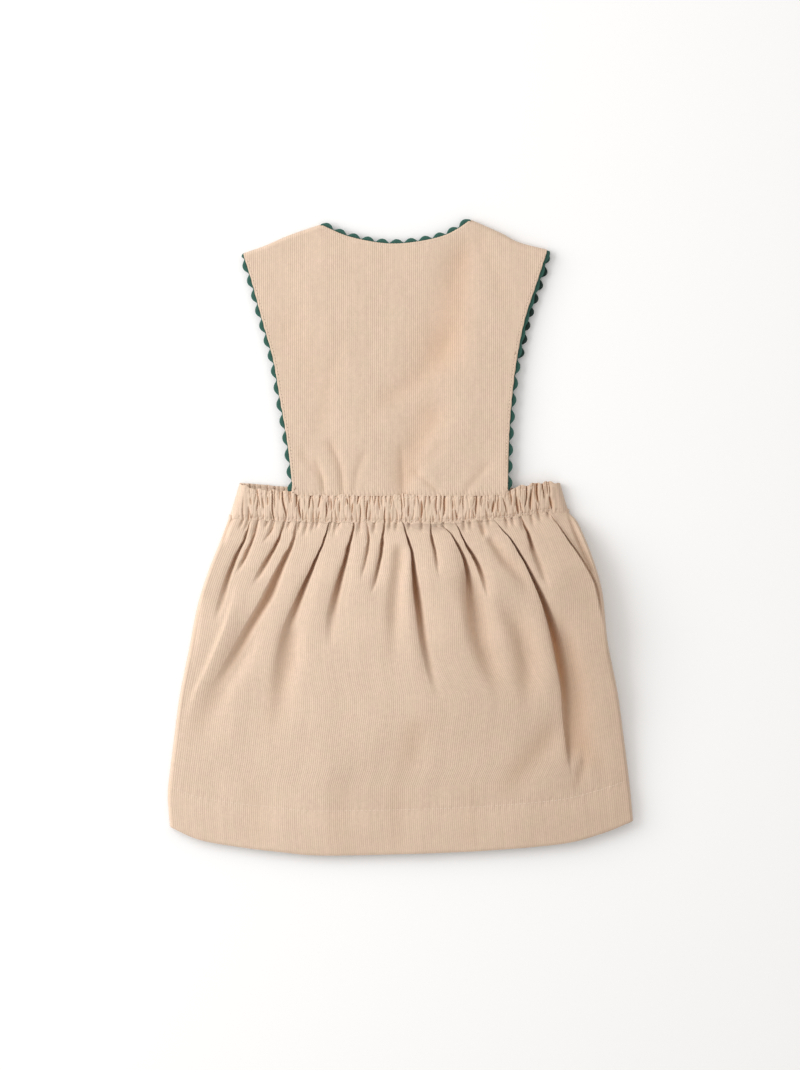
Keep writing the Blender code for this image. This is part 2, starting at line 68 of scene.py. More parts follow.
# ------------------------------------------------------- sizes of the solids
CLOTH = 1.5              # wall of one layer, as it lies
HEM_CLOTH = 2.1          # wall where the hem is turned up
BAND_CLOTH = 1.6         # wall of the waistband's casing
SEAM_GAP = 0.3           # between pieces that are sewn or lie together
BRAID = 1.0              # thickness of the ric-rac
BRAID_HALF_WIDTH = 1.7
SHOULDER_TURN = 2.2      # the back rolls down to the front over this distance
SIDE_ROLL = 0.022        # the same at the waistband's ends, as part of its width
SIDE_TURN = 0.009        # and at the skirt's sides, as part of its width
HEM_DEPTH = 28.0         # from the edge to the stitching that holds the hem
SKIRT_LENGTH = 207.0     # waist seam to hem
SKIRT_WIDTH = 270.0      # about halfway down
HEM_STEP = 0.060         # share of the skirt's length over which the wall grows
FRONT_HEM_SHORT = 1.5    # the front's hem lies this much above the back's
FRONT_INSET = 0.8        # the front bib lies this much inside the back's edge
SIDE_INSET = 0.7         # and the front skirt inside the back's sides
BAND_MIDDLE = 6.2        # height of the back band's middle surface
BIB_WAIST_RISE = 1.05    # the bib climbs by this much towards the waistband
NECK_SHARE = (0.27, 0.745)   # where the neckline begins and ends across the bib
FRONT_BRAID_LIFT = CLOTH + SEAM_GAP
BACK_BRAID_LIFT = FRONT_BRAID_LIFT + BRAID + SEAM_GAP
BIB_MIDDLE = BACK_BRAID_LIFT + BRAID + SEAM_GAP + CLOTH / 2

# Outlines, each a row of places (x, y) in order.
BIB_LEFT = [(-103.3, 187.0), (-98.0, 170.1), (-90.8, 143.7), (-83.5, 117.3),
            (-78.9, 90.9), (-74.3, 64.5), (-71.3, 40.0), (-71.0, 30.4)]
BIB_RIGHT = [(96.4, 189.4), (90.1, 170.1), (81.5, 143.7), (76.2, 117.3),
             (72.9, 90.9), (71.0, 64.5), (70.3, 40.0), (70.3, 30.0)]
SHOULDER_LEFT = [(-103.3, 187.0), (-88.8, 192.1), (-73.6, 198.7), (-52.8, 205.9)]
SHOULDER_RIGHT = [(46.3, 209.1), (65.7, 200.5), (77.6, 194.3), (96.4, 189.4)]
NECK_BACK = [(-52.8, 205.9), (-36.0, 198.6), (-17.8, 194.4), (-3.0, 193.3),
             (13.0, 194.9), (28.0, 198.4), (38.0, 203.2), (46.3, 209.1)]
NECK_FRONT = [(-52.8, 205.9), (-38.0, 192.0), (-20.0, 182.5), (-3.0, 179.5),
              (14.0, 182.0), (30.0, 191.5), (46.3, 209.1)]
BAND_TOP = [(-106.3, 35.3), (-99.3, 32.4), (-89.4, 30.7), (-72.9, 30.1), (-60.0, 28.5),
            (0.0, 28.1), (62.0, 28.6), (78.9, 33.4), (97.4, 36.2), (105.5, 35.0)]
BAND_TOP_FRONT = [(-105.9, 36.2), (-89.4, 34.9), (-72.9, 33.6), (0.0, 31.5),
                  (71.0, 32.5), (97.4, 35.4), (105.0, 34.6)]
FRONT_BIB_FOOT = [(-70.2, 33.5), (-35.0, 32.4), (0.0, 31.5), (35.0, 31.8), (69.5, 32.4)]
BAND_BOTTOM = [(-112.9, 13.0), (-99.3, 12.3), (-72.9, 11.0), (-30.0, 10.4), (26.0, 10.4),
               (52.5, 12.0), (78.9, 14.2), (95.0, 17.0), (111.0, 16.4)]
SKIRT_LEFT = [(-113.2, 12.7), (-118.5, -1.5), (-126.4, -21.3), (-133.7, -44.4),
              (-138.9, -70.8), (-145.5, -103.8), (-149.5, -133.5), (-153.4, -166.5),
              (-152.9, -180.0), (-152.1, -190.2)]
SKIRT_RIGHT = [(111.3, 16.1), (117.2, 9.5), (126.4, -12.7), (133.0, -35.8),
               (136.3, -67.5), (142.9, -100.5), (147.5, -133.5), (151.5, -166.5),
               (153.4, -186.3)]
HEM_LINE = [(-152.1, -190.2), (-132.3, -198.8), (-105.9, -203.6), (-79.5, -206.8),
            (-53.1, -209.1), (0.0, -208.2), (52.5, -206.1), (105.3, -201.5),
            (131.7, -194.9), (153.4, -186.3)]

# Height of the skirt's crests above its lowest troughs, from waist to hem.
CREST = {"down": [0.00, 0.07, 0.18, 0.36, 0.52, 0.68, 0.80, 0.88, 1.00],
         "rise": [3.60, 8.00, 11.0, 10.2, 7.60, 5.00, 3.60, 2.80, 1.90]}
CREST_RIGHT_GAIN = 0.40  # the right side stands this much higher than the left

# ------------------------------------------------------------ folds
# A slit is where the gathered back skirt turns down between two flat panels.
# It follows its path.  hidden is the cloth gathered into it.  open is its half
# width and deep the share of the skirt's height that it takes away, both at even
# shares of the path.  steep is 1 where both its walls slope alike and more where
# the left one stands upright.  soft and spread are the depth and the half width,
# at both ends, of the hollow that it lies in.
SKIRT_SLITS = rows_of(("path", "hidden", "open", "deep", "steep", "soft", "spread"), [
    ([(-98, 12.4), (-102, 0), (-107.5, -12), (-112.5, -25), (-117, -42), (-121, -55)],
     7.0, (0.6, 1.4, 2.2, 3.0, 3.4), (0.2, 0.7, 0.52, 0.2, 0.0), 1.4, 0.12, (3, 8)),
    ([(-93.4, 12.4), (-97, -1), (-102, -13), (-107, -23)],
     4.0, (0.5, 1.4, 2.1, 2.0), (0.2, 0.4, 0.4, 0.0), 1.2, 0.06, (2, 4)),
    ([(-82, 12.4), (-83.5, 7.4), (-87.1, 1.4), (-90.5, -4)],
     3.0, (0.4, 0.8, 1.6, 1.6), (0.2, 0.32, 0.15, 0.0), 1.2, 0.06, (2, 3)),
    ([(-76.6, 12.4), (-79, 1), (-84, -9), (-91, -22), (-95.5, -30)],
     5.5, (0.5, 1.5, 2.6, 3.0), (0.25, 0.7, 0.45, 0.0), 1.4, 0.10, (2.5, 7)),
    ([(-67.7, 12.4), (-71, -4), (-78, -19), (-86, -38), (-97, -57), (-108, -77),
      (-121.5, -100)],
     10.0, (0.6, 2.6, 4.8, 4.8, 4.8, 4.6), (0.25, 0.64, 0.60, 0.42, 0.24, 0.0),
     1.4, 0.14, (2.5, 10)),
    ([(-46.4, 13), (-48.8, 2), (-56, -16), (-63.5, -34), (-70, -52), (-75, -70),
      (-82.5, -110)],
     11.0, (0.7, 1.2, 2.9, 5.0, 5.4, 4.5), (0.45, 0.92, 0.70, 0.22, 0.04, 0.0),
     1.7, 0.20, (3, 11)),
    ([(-29.8, 13), (-32, 1), (-36.3, -16), (-41, -34), (-44, -50), (-46, -72)],
     9.0, (0.6, 1.5, 2.3, 3.5, 4.4, 4.4), (0.4, 0.93, 0.74, 0.46, 0.10, 0.0),
     1.5, 0.16, (3, 9)),
    ([(-22.4, 11.7), (-20.8, -2), (-22.8, -14), (-25.4, -27)],
     4.0, (0.5, 1.4, 1.4, 1.6), (0.15, 0.42, 0.18, 0.0), 1.2, 0.08, (2.5, 4)),
    ([(-10.4, 12), (-12, -4), (-14.2, -18), (-18.5, -36)],
     6.0, (0.7, 1.5, 1.6, 2.0), (0.5, 0.74, 0.32, 0.0), 1.2, 0.12, (2.5, 5)),
    ([(1, 12), (5, 0), (8.2, -12), (10, -27), (13, -47), (17, -71), (25.5, -105)],
     12.0, (0.8, 1.3, 3.2, 3.9, 4.0, 4.4), (0.45, 1.0, 0.9, 0.46, 0.2, 0.0),
     2.0, 0.18, (3, 12)),
    ([(19.6, 12), (20.7, 0), (23.2, -12), (25.2, -24)],
     3.4, (0.5, 1.2, 1.5, 1.2), (0.2, 0.66, 0.2, 0.0), 1.3, 0.08, (2, 3)),
    ([(26.1, 9), (34, 1.8), (40, -9), (44, -20), (46.2, -34), (49, -54), (54, -74)],
     10.0, (0.5, 1.2, 2.1, 4.0, 4.5, 4.0), (0.1, 0.66, 0.74, 0.28, 0.06, 0.0),
     1.8, 0.28, (2.5, 10)),
    ([(36.4, 9.9), (41.4, -1), (48.6, -13), (54.2, -25), (58, -40)],
     5.0, (0.4, 0.9, 2.0, 2.6, 2.0), (0.2, 0.85, 0.66, 0.2, 0.0), 1.5, 0.10, (2.5, 5)),
    ([(61.1, 12.5), (67.5, 5), (75, -4.5), (85.5, -22.5), (94.4, -41), (101, -60),
      (106, -80), (109, -98), (110.4, -124), (112.5, -153)],
     14.0, (0.5, 1.3, 3.2, 4.6, 4.0, 1.5),
     (0.1, 0.72, 0.58, 0.85, 0.95, 0.92, 0.54, 0.37, 0.0), 2.3, 0.16, (3, 10)),
    ([(79.8, 13.5), (84, 2), (88, -10), (93, -22), (97.5, -33)],
     5.0, (0.6, 1.5, 2.4, 3.0, 2.4), (0.4, 0.76, 0.2, 0.12, 0.0), 1.3, 0.12, (2.5, 7)),
    ([(98.5, 16), (106, 5), (118.4, -13), (127.5, -29), (131, -44), (133.2, -56)],
     3.4, (0.6, 1.1, 1.3, 1.5, 1.0), (0.2, 0.30, 0.25, 0.25, 0.0), 1.6, 0.0, (2, 3)),
])
# Right of the last of them a strip of the side lies lower.
STRIP_DROP = 0.16        # by this share of the skirt's height

# Soft folds, each along the line where it is shaded most: depth, half widths on
# its left and right at both ends, and the shares of the path where it is whole.
# A ridge has a depth below nought.
SOFT_FOLDS = rows_of(("path", "depth", "left", "right", "starts", "lasts"), [
    ([(-94, -52), (-103, -67.5), (-111, -80.7), (-119, -93.9), (-124.4, -107.1),
      (-131.7, -120.3), (-139, -133.5), (-146, -147)],
     0.24, (8, 7), (5, 6), 0.30, 0.50),
    ([(-104, -24), (-108.5, -38), (-113, -54), (-118.3, -67.5), (-124.2, -80.7),
      (-130.2, -93.9), (-136.1, -107.1), (-140.5, -120.3), (-146, -134)],
     -0.20, (2.2, 2.2), (8, 8), 0.35, 0.70),
    ([(-104.9, -114), (-116.1, -136.5), (-123.9, -151.1)],
     -0.10, (1.8, 1.8), (6, 6), 0.3, 0.60),
    ([(-72, -52), (-75.3, -64), (-76.5, -76), (-79.5, -90), (-81.2, -100),
      (-84, -114), (-90.6, -137), (-93, -146)],
     0.36, (5, 7), (6, 10), 0.15, 0.30),
    ([(-2.3, -0.2), (-3.5, -16.7), (-5.6, -34), (-6.7, -48.3), (-7.3, -76.9), (-8, -92)],
     0.27, (3, 5), (4, 7), 0.12, 0.40),
    ([(38, -18), (43, -38), (47.2, -61), (52, -76.9), (61.5, -99), (66, -112)],
     0.42, (5, 5), (7, 9), 0.3, 0.60),
    ([(60, -34), (66.5, -49), (74.2, -63), (77.9, -80), (79.5, -96), (77.3, -118)],
     0.34, (6, 7), (9, 10), 0.45, 0.60),
    ([(55.1, 0.5), (59.7, -4.8), (67, -16), (73.6, -22.6), (78.9, -29.2), (86, -44)],
     0.26, (2, 5), (3, 7), 0.10, 0.40),
    ([(51.2, 10.5), (53.8, 2.5), (55, -1)], 0.30, (0.9, 1.2), (1.2, 1.6), 0, 0.5),
    ([(109.2, 17.7), (114.5, 1.2), (121, -14), (127, -30)],
     0.22, (1.1, 1.5), (1.6, 2), 0, 0.7),
    ([(-110.6, 14), (-113.9, 8.4), (-119, -6)], 0.35, (1, 1.6), (1.4, 2), 0, 0.50),
    ([(-132.3, -34.5), (-137, -67.5), (-141, -84)],
     0.12, (1.4, 1.8), (2, 3), 0.2, 0.60),
    ([(22, -112), (18.8, -121.2), (9.2, -127.5), (6, -140), (-0.3, -156),
      (-4, -168)], 0.24, (8, 9), (8, 9), 0.4, 0.50),
    ([(103, -112), (94.7, -130.8), (82, -146.6), (69.4, -162.4), (56, -178)],
     0.34, (7, 8), (7, 9), 0.3, 0.55),
    ([(122, -139), (116.8, -153.7), (111.2, -166.7)],
     0.34, (1.4, 2), (5, 6), 0.3, 0.60),
    ([(116, -128), (122.5, -139.5), (131, -150), (138, -158)],
     0.22, (4, 5), (5, 6), 0.3, 0.60),
    ([(93, -40), (98.5, -60), (103, -78), (107, -94), (109, -107),
      (110, -120), (110, -133.5), (110.5, -152)],
     0.66, (2, 3), (10, 15), 0.35, 0.85),
    ([(-50, -100), (-52, -135), (-53, -170), (-53, -209)],
     -0.26, (30, 30), (16, 16), 0.5, 0.95),
    ([(-38.6, -150), (-41.2, -173.1), (-42.6, -209)],
     0.10, (7, 8), (8, 9), 0.4, 0.80),
    ([(-1.7, -150), (-3, -173.1), (-4.3, -209)], 0.12, (6, 7), (7, 8), 0.4, 0.80),
    ([(48.5, -150), (46.5, -173.1), (45.2, -209)], 0.12, (6, 7), (7, 8), 0.4, 0.80),
    ([(-100, -150), (-96.5, -173.1), (-92.2, -207)],
     0.10, (6, 7), (7, 8), 0.4, 0.80),
    ([(83, -40), (93, -75), (97, -120)], -0.10, (6, 9), (6, 9), 0.3, 0.60),
])
# A soft fold lies this far to the right of its shade, as a share of its left half.
FOLD_LEAN = 0.70
FOLD_PAINTED_SHADE = 0.42         # how much of a slit's painted shade a soft fold of its depth has

# The ticks that the elastic draws in the back waistband: x at half height, how
# far its foot stands to the right of its top, depth, where it begins and ends
# as shares of the band's height, and how far it runs on down the skirt.
BAND_TICKS = rows_of(("x", "slant", "depth", "begins", "ends", "runs"), [
    (-103.6, 0.0, 0.50, 0.30, 1.00, 5), (-99.7, -0.4, 0.80, 0.56, 1.10, 6),
    (-98.2, 0.0, 0.60, 0.28, 0.52, 0), (-94.4, 0.2, 0.90, 0.30, 0.72, 0),
    (-93.6, 0.0, 0.70, 0.80, 1.10, 9), (-90.4, 0.0, 0.70, 0.20, 0.62, 0),
    (-87.5, 0.0, 0.70, 0.15, 0.50, 4), (-84.2, 1.0, 1.30, 0.08, 1.10, 7),
    (-76.6, 1.2, 1.70, 0.04, 0.95, 6), (-73.1, 0.0, 0.80, 0.04, 0.40, 5),
    (-68.7, 0.3, 1.50, 0.06, 0.50, 0), (-66.3, 0.0, 1.90, 0.20, 0.90, 6),
    (-60.6, -1.8, 1.30, 0.08, 0.55, 7), (-57.0, 0.0, 0.60, 0.55, 1.05, 5),
    (-53.8, -1.4, 1.10, 0.08, 0.50, 4), (-48.8, -0.4, 1.60, 0.26, 0.86, 0),
    (-45.6, 0.0, 0.80, 0.12, 0.60, 6), (-42.6, 0.4, 0.60, 0.50, 1.10, 7),
    (-39.9, -0.8, 0.60, 0.25, 0.65, 4), (-34.8, 0.0, 1.20, 0.12, 0.36, 0),
    (-31.4, -0.3, 0.80, 0.28, 0.70, 0), (-28.0, 0.5, 1.20, 0.08, 0.36, 0),
    (-26.7, -0.2, 0.90, 0.30, 1.05, 7), (-22.0, 0.0, 1.60, 0.20, 0.98, 0),
    (-17.1, 0.0, 0.70, 0.08, 0.40, 6), (-13.6, 0.0, 0.90, 0.08, 0.56, 0),
    (-10.5, 0.3, 1.30, 0.42, 1.10, 0), (-6.9, 0.0, 0.70, 0.08, 0.36, 5),
    (-2.8, 0.0, 0.50, 0.45, 1.05, 5), (0.6, 0.2, 0.90, 0.08, 0.65, 0),
    (5.6, 0.3, 1.20, 0.36, 0.80, 4), (10.0, 0.0, 0.50, 0.08, 0.45, 0),
    (14.0, 0.0, 1.40, 0.20, 0.90, 5), (19.1, 0.3, 0.80, 0.08, 0.36, 0),
    (23.8, 0.0, 1.30, 0.08, 0.76, 6), (28.4, -0.6, 1.50, 0.08, 0.80, 5),
    (34.0, 0.0, 0.70, 0.12, 0.55, 0), (36.6, 0.4, 1.50, 0.55, 1.10, 0),
    (41.2, 0.4, 0.80, 0.08, 0.56, 6), (45.6, 0.0, 0.50, 0.50, 1.05, 5),
    (49.7, 0.0, 1.40, 0.08, 0.80, 0), (53.1, 0.5, 0.80, 0.08, 0.45, 8),
    (57.6, 0.0, 0.60, 0.26, 0.60, 4), (60.8, -0.5, 1.30, 0.26, 0.76, 0),
    (64.4, 0.4, 0.80, 0.15, 0.80, 0), (68.5, 1.2, 0.80, 0.15, 0.86, 6),
    (72.9, 0.6, 0.90, 0.08, 0.56, 5), (76.6, 1.4, 1.50, 0.26, 0.92, 0),
    (78.6, 0.3, 0.70, 0.40, 0.86, 8), (82.2, -1.0, 1.40, 0.08, 0.72, 0),
    (85.5, 0.2, 1.50, 0.15, 0.86, 6), (90.4, 0.2, 2.00, 0.06, 0.66, 5),
    (94.0, 0.8, 1.20, 0.08, 0.55, 0), (96.4, 0.3, 0.80, 0.02, 0.40, 4),
    (98.3, 0.2, 1.50, 0.45, 0.92, 0),
])
TICK_HALF_WIDTH = 0.34   # on the average; the ticks differ by a formula
TICK_DEPTH = 2.0         # the whole cut of a tick of depth 1
TICK_WOBBLE = 0.35       # how far it strays from a straight line
BAND_PAINTED_SHADE = 0.75         # how fast a tick's painted shade grows with its depth
BAND_PUFF = 0.75         # how far the casing stands out between its rows of stitching
PLEAT_DEPTH = 0.42       # share of the skirt's height that a tick takes as it runs on
SMALL_TICKS = ((64, 0.44, 0), (70, 0.34, 1))     # along its top edge, and along its foot
# Hollows of the front waistband that show inside, past the back's top edge.
FRONT_HOLLOWS = [-102.6, -99.3, -95.4, -92.1, -87.5, -82.8, -79.6, -76.4]
FRONT_GATHERS = 40       # the rest are spaced unevenly by a formula
FRONT_SEED = 1.1
# Where spaced gathers begin, and the width that they fill.
SMALL_TICK_SPAN = (-101.0, 200.0)
FRONT_SPAN = (-104.0, 206.0)
FRONT_BY_HAND = 0.15     # share of it that the listed hollows take up

# Soft creases of the back bib: depth, half widths on its left and right at both
# ends, and keen, which is less for a sharper crease.
BIB_CREASES = rows_of(("path", "depth", "left", "right", "keen"), [
    ([(45.5, 205), (42, 190), (39, 172), (36.5, 155), (35, 140), (31, 124),
      (25, 108)], 2, (6, 25), (8, 15), 2),
    ([(36, 146), (30, 128), (21, 114), (9, 102.5), (-6, 92), (-15, 84)],
     0.95, (9, 8), (7, 8), 2),
    ([(27, 96), (22.5, 80), (15, 66), (7.5, 52), (4, 40), (3, 26)],
     1.7, (15, 7), (10, 6), 2),
    ([(0.1, 64), (1, 50), (1.5, 36), (1.5, 26)], 0.65, (2.6, 2.2), (3, 2.4), 1.8),
    ([(-49, 68), (-42.5, 55), (-38.8, 43), (-37.6, 26)],
     1.2, (3.4, 2.2), (3.6, 2.4), 1.7),
    ([(-57, 54), (-51.4, 40), (-50, 26)], 0.75, (2.2, 1.9), (2.4, 2), 1.7),
    ([(-38, 142), (-42, 118), (-46, 97), (-55, 68)],
     0.40, (5, 5), (7, 7), 2),
    ([(7, 46), (14, 40), (21, 34), (27, 28)], 0.85, (2.8, 2.2), (2.6, 2.2), 1.8),
    ([(33, 66), (24, 56), (15, 48), (8, 42)], 0.50, (5, 3.4), (5, 3.4), 2),
    ([(61, 52), (52.5, 41.4), (44.5, 31.5), (42, 26)],
     0.65, (3.8, 2.8), (3.6, 2.8), 1.9),
    ([(-69, 62), (-59, 49), (-52.5, 40), (-50, 30)],
     0.50, (3.4, 2.4), (3.6, 2.6), 2),
    ([(-21, 60), (-27, 47), (-30, 35), (-30.5, 26)],
     0.60, (3.4, 2.4), (3.6, 2.6), 1.8),
    ([(50, 206), (56, 190), (64, 172), (70, 156)],
     0.45, (4, 6), (5, 6), 2),
    ([(-82, 150), (-60, 118), (-52, 90)], 0.40, (11, 11), (14, 14), 2),
])
# Swells of the bib between them: middle, height, and half width across and along.
BIB_SWELLS = rows_of(("at", "rise", "spread"), [
    ((-45, 150), 1.2, (28, 40)),
    ((48, 130), 1.3, (22, 34)),
    ((-28, 62), 1.1, (20, 30)),
    ((34, 70), 1.2, (18, 24)),
])

# The cut pieces.
SKIRT_CUT = (320.0, 245.0)   # each panel, with its hem turned out flat
SKIRT_FLAT_WIDTH = 306.0     # what shows of it between the side seams
BIB_CUT = (200.0, 170.0)
BIB_CUT_AREA = 0.027         # square metres
BAND_CUT = (320.0, 18.0)     # one face of the casing

# Their sewing.
BAND_STITCH = (0.10, 0.93)   # the waistband's rows, as shares of its height
EDGE_STITCH = 1.3            # topstitching lies this far inside an armhole's edge
NECK_STITCH = 2.0            # and inside a neckline's
STITCH_PITCH = 2.1           # a stitch and the gap after it
PUCKER_PITCH = 4.1           # of the small puckers beside the stitches
ARMHOLE_GAP = 1.4            # between the short stitches that hold the ric-rac
HEM_GROOVE = 0.08            # how deep the hem's stitching sinks in
HEM_ROUND = 1.3              # the hem's fold is round over this distance
HEM_SINK = 0.7               # and lies this much lower

# Heights of the cloth, and the painted shade in its folds and creases.
WAIST_TUCK = 1.2             # what runs up under the waistband lies this much lower
SIDE_LOW = 0.9               # the back's side edges come down to the front's edge
FLOOR_GAP = 0.05             # under the front's bib and skirt
FRONT_BAND_LOW = 1.2         # height of the front band's inner face at its ends
FRONT_BAND_RISE = 1.75       # and how much higher it is between them
BIB_PAINTED_SHADE = 0.10              # painted shade of a crease a millimetre deep
HOLLOW_PAINTED_SHADE = 0.9            # how far a whole hollow is painted with the shade colour of its depth


# ------------------------------------------------------------- curve tools
def travel_along(line):
    """Distance along a line of places to each of them."""
    steps = np.linalg.norm(np.diff(line, axis=0), axis=1)
    return np.concatenate([[0.0], np.cumsum(steps)])


def unit(vectors):
    return vectors / np.linalg.norm(vectors, axis=-1, keepdims=True)


def to_left(run):
    """Each direction on the floor, turned a quarter to its left."""
    return np.stack([-run[..., 1], run[..., 0]], axis=-1)


class Edge:
    """A smooth line through a few places, read by its share of length."""

    STEPS = 14

    def __init__(self, places):
        places = np.array(places, float)
        knots = np.vstack([2 * places[0] - places[1], places, 2 * places[-1] - places[-2]])
        t = np.arange(self.STEPS)[:, None] / self.STEPS
        runs = [self.blend(knots[k - 1:k + 3], t) for k in range(1, len(knots) - 2)]
        self.line = np.vstack([*runs, places[-1:]])
        travel = travel_along(self.line)
        self.length = travel[-1]
        self.share = travel / self.length

    @staticmethod
    def blend(knots, t):
        """Catmull-Rom curve between the two middle knots."""
        a, b, c, d = knots
        return 0.5 * (2 * b + (c - a) * t + (2 * a - 5 * b + 4 * c - d) * t ** 2
                      + (3 * b - a - 3 * c + d) * t ** 3)

    def at(self, share):
        return np.stack([np.interp(share, self.share, self.line[:, k]) for k in (0, 1)], -1)

    def side(self, share):
        """Unit vector square to the line, to its left."""
        run = self.at(np.minimum(share + 0.01, 1.0)) - self.at(np.maximum(share - 0.01, 0.0))
        return to_left(unit(run))


class JoinedEdge:
    """Lines end to end, each with its own share of the whole."""

    def __init__(self, edges, breaks):
        self.edges = edges
        self.breaks = breaks

    def at(self, share):
        share = np.asarray(share, float)
        spans = list(zip(self.edges, self.breaks[:-1], self.breaks[1:]))
        place = self.edges[-1].at(np.ones_like(share))
        for edge, low, high in reversed(spans):
            here = edge.at((share - low) / (high - low))
            place = np.where((share <= high)[..., None], here, place)
        return place


class Sheet:
    """A flat patch between four edges: across is left to right, down is top to foot."""

    def __init__(self, top, foot, left, right):
        self.top, self.foot, self.left, self.right = top, foot, left, right

    def at(self, across, down):
        u, v = across[..., None], down[..., None]
        rule = (1 - v) * self.top.at(across) + v * self.foot.at(across)
        left = self.left.at(down) - (1 - v) * self.top.at(0.0) - v * self.foot.at(0.0)
        right = self.right.at(down) - (1 - v) * self.top.at(1.0) - v * self.foot.at(1.0)
        return rule + (1 - u) * left + u * right

    def shares_of(self, places, wide, long):
        """Across and down of places near it, stepping towards each by its rough size."""
        across, down = np.full(len(places), 0.5), np.full(len(places), 0.5)
        for _ in range(40):
            off = places - self.at(across, down)
            across = np.clip(across + 0.8 * off[:, 0] / wide, 0.0, 1.0)
            down = np.clip(down - 0.8 * off[:, 1] / long, 0.0, 1.0)
        return across, down


def moved(places, x=0.0, y=0.0):
    return [(px + x, py + y) for px, py in places]


def between(ends, share):
    """What runs evenly from the first of two values to the second."""
    return ends[0] + (ends[1] - ends[0]) * share


def bell(value, keen=2):
    """One at nought, and less on both sides of it."""
    return np.exp(-np.abs(value) ** keen)


def raised(flat, height):
    """Places on the floor, each lifted to its height."""
    return np.concatenate([flat, height[..., None]], axis=-1)


def ease(value):
    """Nought to one with level ends."""
    value = np.clip(value, 0.0, 1.0)
    return value * value * (3 - 2 * value)


def fade(value, begins, over):
    """One until it begins, then down to nought over a stretch."""
    return 1 - ease((value - begins) / over)


def from_sides(share):
    """The share's distance to the nearer of its two ends."""
    return np.minimum(share, 1 - share)


def roll(distance, radius):
    """Height share of a round edge: upright at the edge, level at its radius."""
    inner = np.clip(distance / radius, 0.0, 1.0)
    return np.sqrt(1 - (1 - inner) ** 2)


def graded(*stretches):
    """Shares from 0 to 1: each stretch gives where it ends and its steps."""
    shares, low = [0.0], 0.0
    for high, steps in stretches:
        shares.extend(low + (high - low) * k / steps for k in range(1, steps + 1))
        low = high
    return np.array(shares)


def beside(path, x, y, pieces=28):
    """Where each place lies beside a path: share along it, distance to its left
    and distance past its ends."""
    line = Edge(path).at(np.linspace(0, 1, pieces + 1))
    best = np.full(x.shape, np.inf)
    share, left, past = np.zeros(x.shape), np.zeros(x.shape), np.zeros(x.shape)
    for k in range(pieces):
        run = line[k + 1] - line[k]
        length = np.linalg.norm(run)
        run = run / length
        away_x, away_y = x - line[k, 0], y - line[k, 1]
        along = away_x * run[0] + away_y * run[1]
        held = np.clip(along, 0.0, length)
        gap = np.hypot(away_x - held * run[0], away_y - held * run[1])
        near = gap < best
        best = np.where(near, gap, best)
        share = np.where(near, (k + held / length) / pieces, share)
        left = np.where(near, away_x * run[1] - away_y * run[0], left)
        past = np.where(near, np.abs(along - held), past)
    return share, left, past


def reach_of(side, past, left, right, end):
    """How far off a path a place lies, in half widths to its left and right."""
    return np.hypot(side / np.where(side > 0, left, right), past / end)


def distance_to(line, x, y):
    """Distance from each place of a grid to the nearest place of a line."""
    return np.array([np.hypot(xs[:, None] - line[:, 0], ys[:, None] - line[:, 1]).min(axis=1)
                     for xs, ys in zip(x, y)])


def ripple(x, y, pitch, seed):
    """A calm uneven surface between about -1 and 1, from a few crossed waves."""
    total = np.zeros(np.shape(x))
    for k in range(5):
        turn = seed + 2.4 * k
        size = pitch * (0.7 + 0.22 * k)
        total += np.sin(TURN * (x * math.cos(turn) + y * math.sin(turn)) / size
                        + 1.7 * seed * (k + 1))
    return total / 3.2


# ------------------------------------------------------------ the outlines
def bib_top(neck):
    """Shoulder, neckline and shoulder in one."""
    return JoinedEdge([Edge(SHOULDER_LEFT), Edge(neck), Edge(SHOULDER_RIGHT)],
                      [0.0, *NECK_SHARE, 1.0])


def straight_sided(top):
    """The waistband under its top edge."""
    return Sheet(Edge(top), Edge(BAND_BOTTOM), Edge([top[0], BAND_BOTTOM[0]]),
                 Edge([top[-1], BAND_BOTTOM[-1]]))


LEFT_EDGE, RIGHT_EDGE = Edge(BIB_LEFT), Edge(BIB_RIGHT)
BIB_FOOT = Edge([BIB_LEFT[-1], (-62.0, 28.0), (0.0, 27.5), (62.0, 27.9), BIB_RIGHT[-1]])
BIB = Sheet(bib_top(NECK_BACK), BIB_FOOT, LEFT_EDGE, RIGHT_EDGE)
BAND, FRONT_BAND = straight_sided(BAND_TOP), straight_sided(BAND_TOP_FRONT)
SKIRT_WAIST = [SKIRT_LEFT[0], *moved(BAND_BOTTOM[1:-1], y=-SEAM_GAP), SKIRT_RIGHT[0]]
SKIRT = Sheet(Edge(SKIRT_WAIST), Edge(HEM_LINE), Edge(SKIRT_LEFT), Edge(SKIRT_RIGHT))
HEM_SHARE = 1 - HEM_DEPTH / SKIRT_LENGTH
HEM_SEWN = HEM_SHARE + 0.004     # where its stitching runs


def side_roll(across):
    """How high the back stands near its side edges, as a share."""
    return roll(from_sides(across), SIDE_ROLL)


def side_turn(across):
    """The same for cloth that keeps level to nearer its edge."""
    return roll(from_sides(across), SIDE_TURN)


# -------------------------------------------------------------- mesh tools
CLOTHS = {}      # the cloth made so far, by node, which the stitches follow


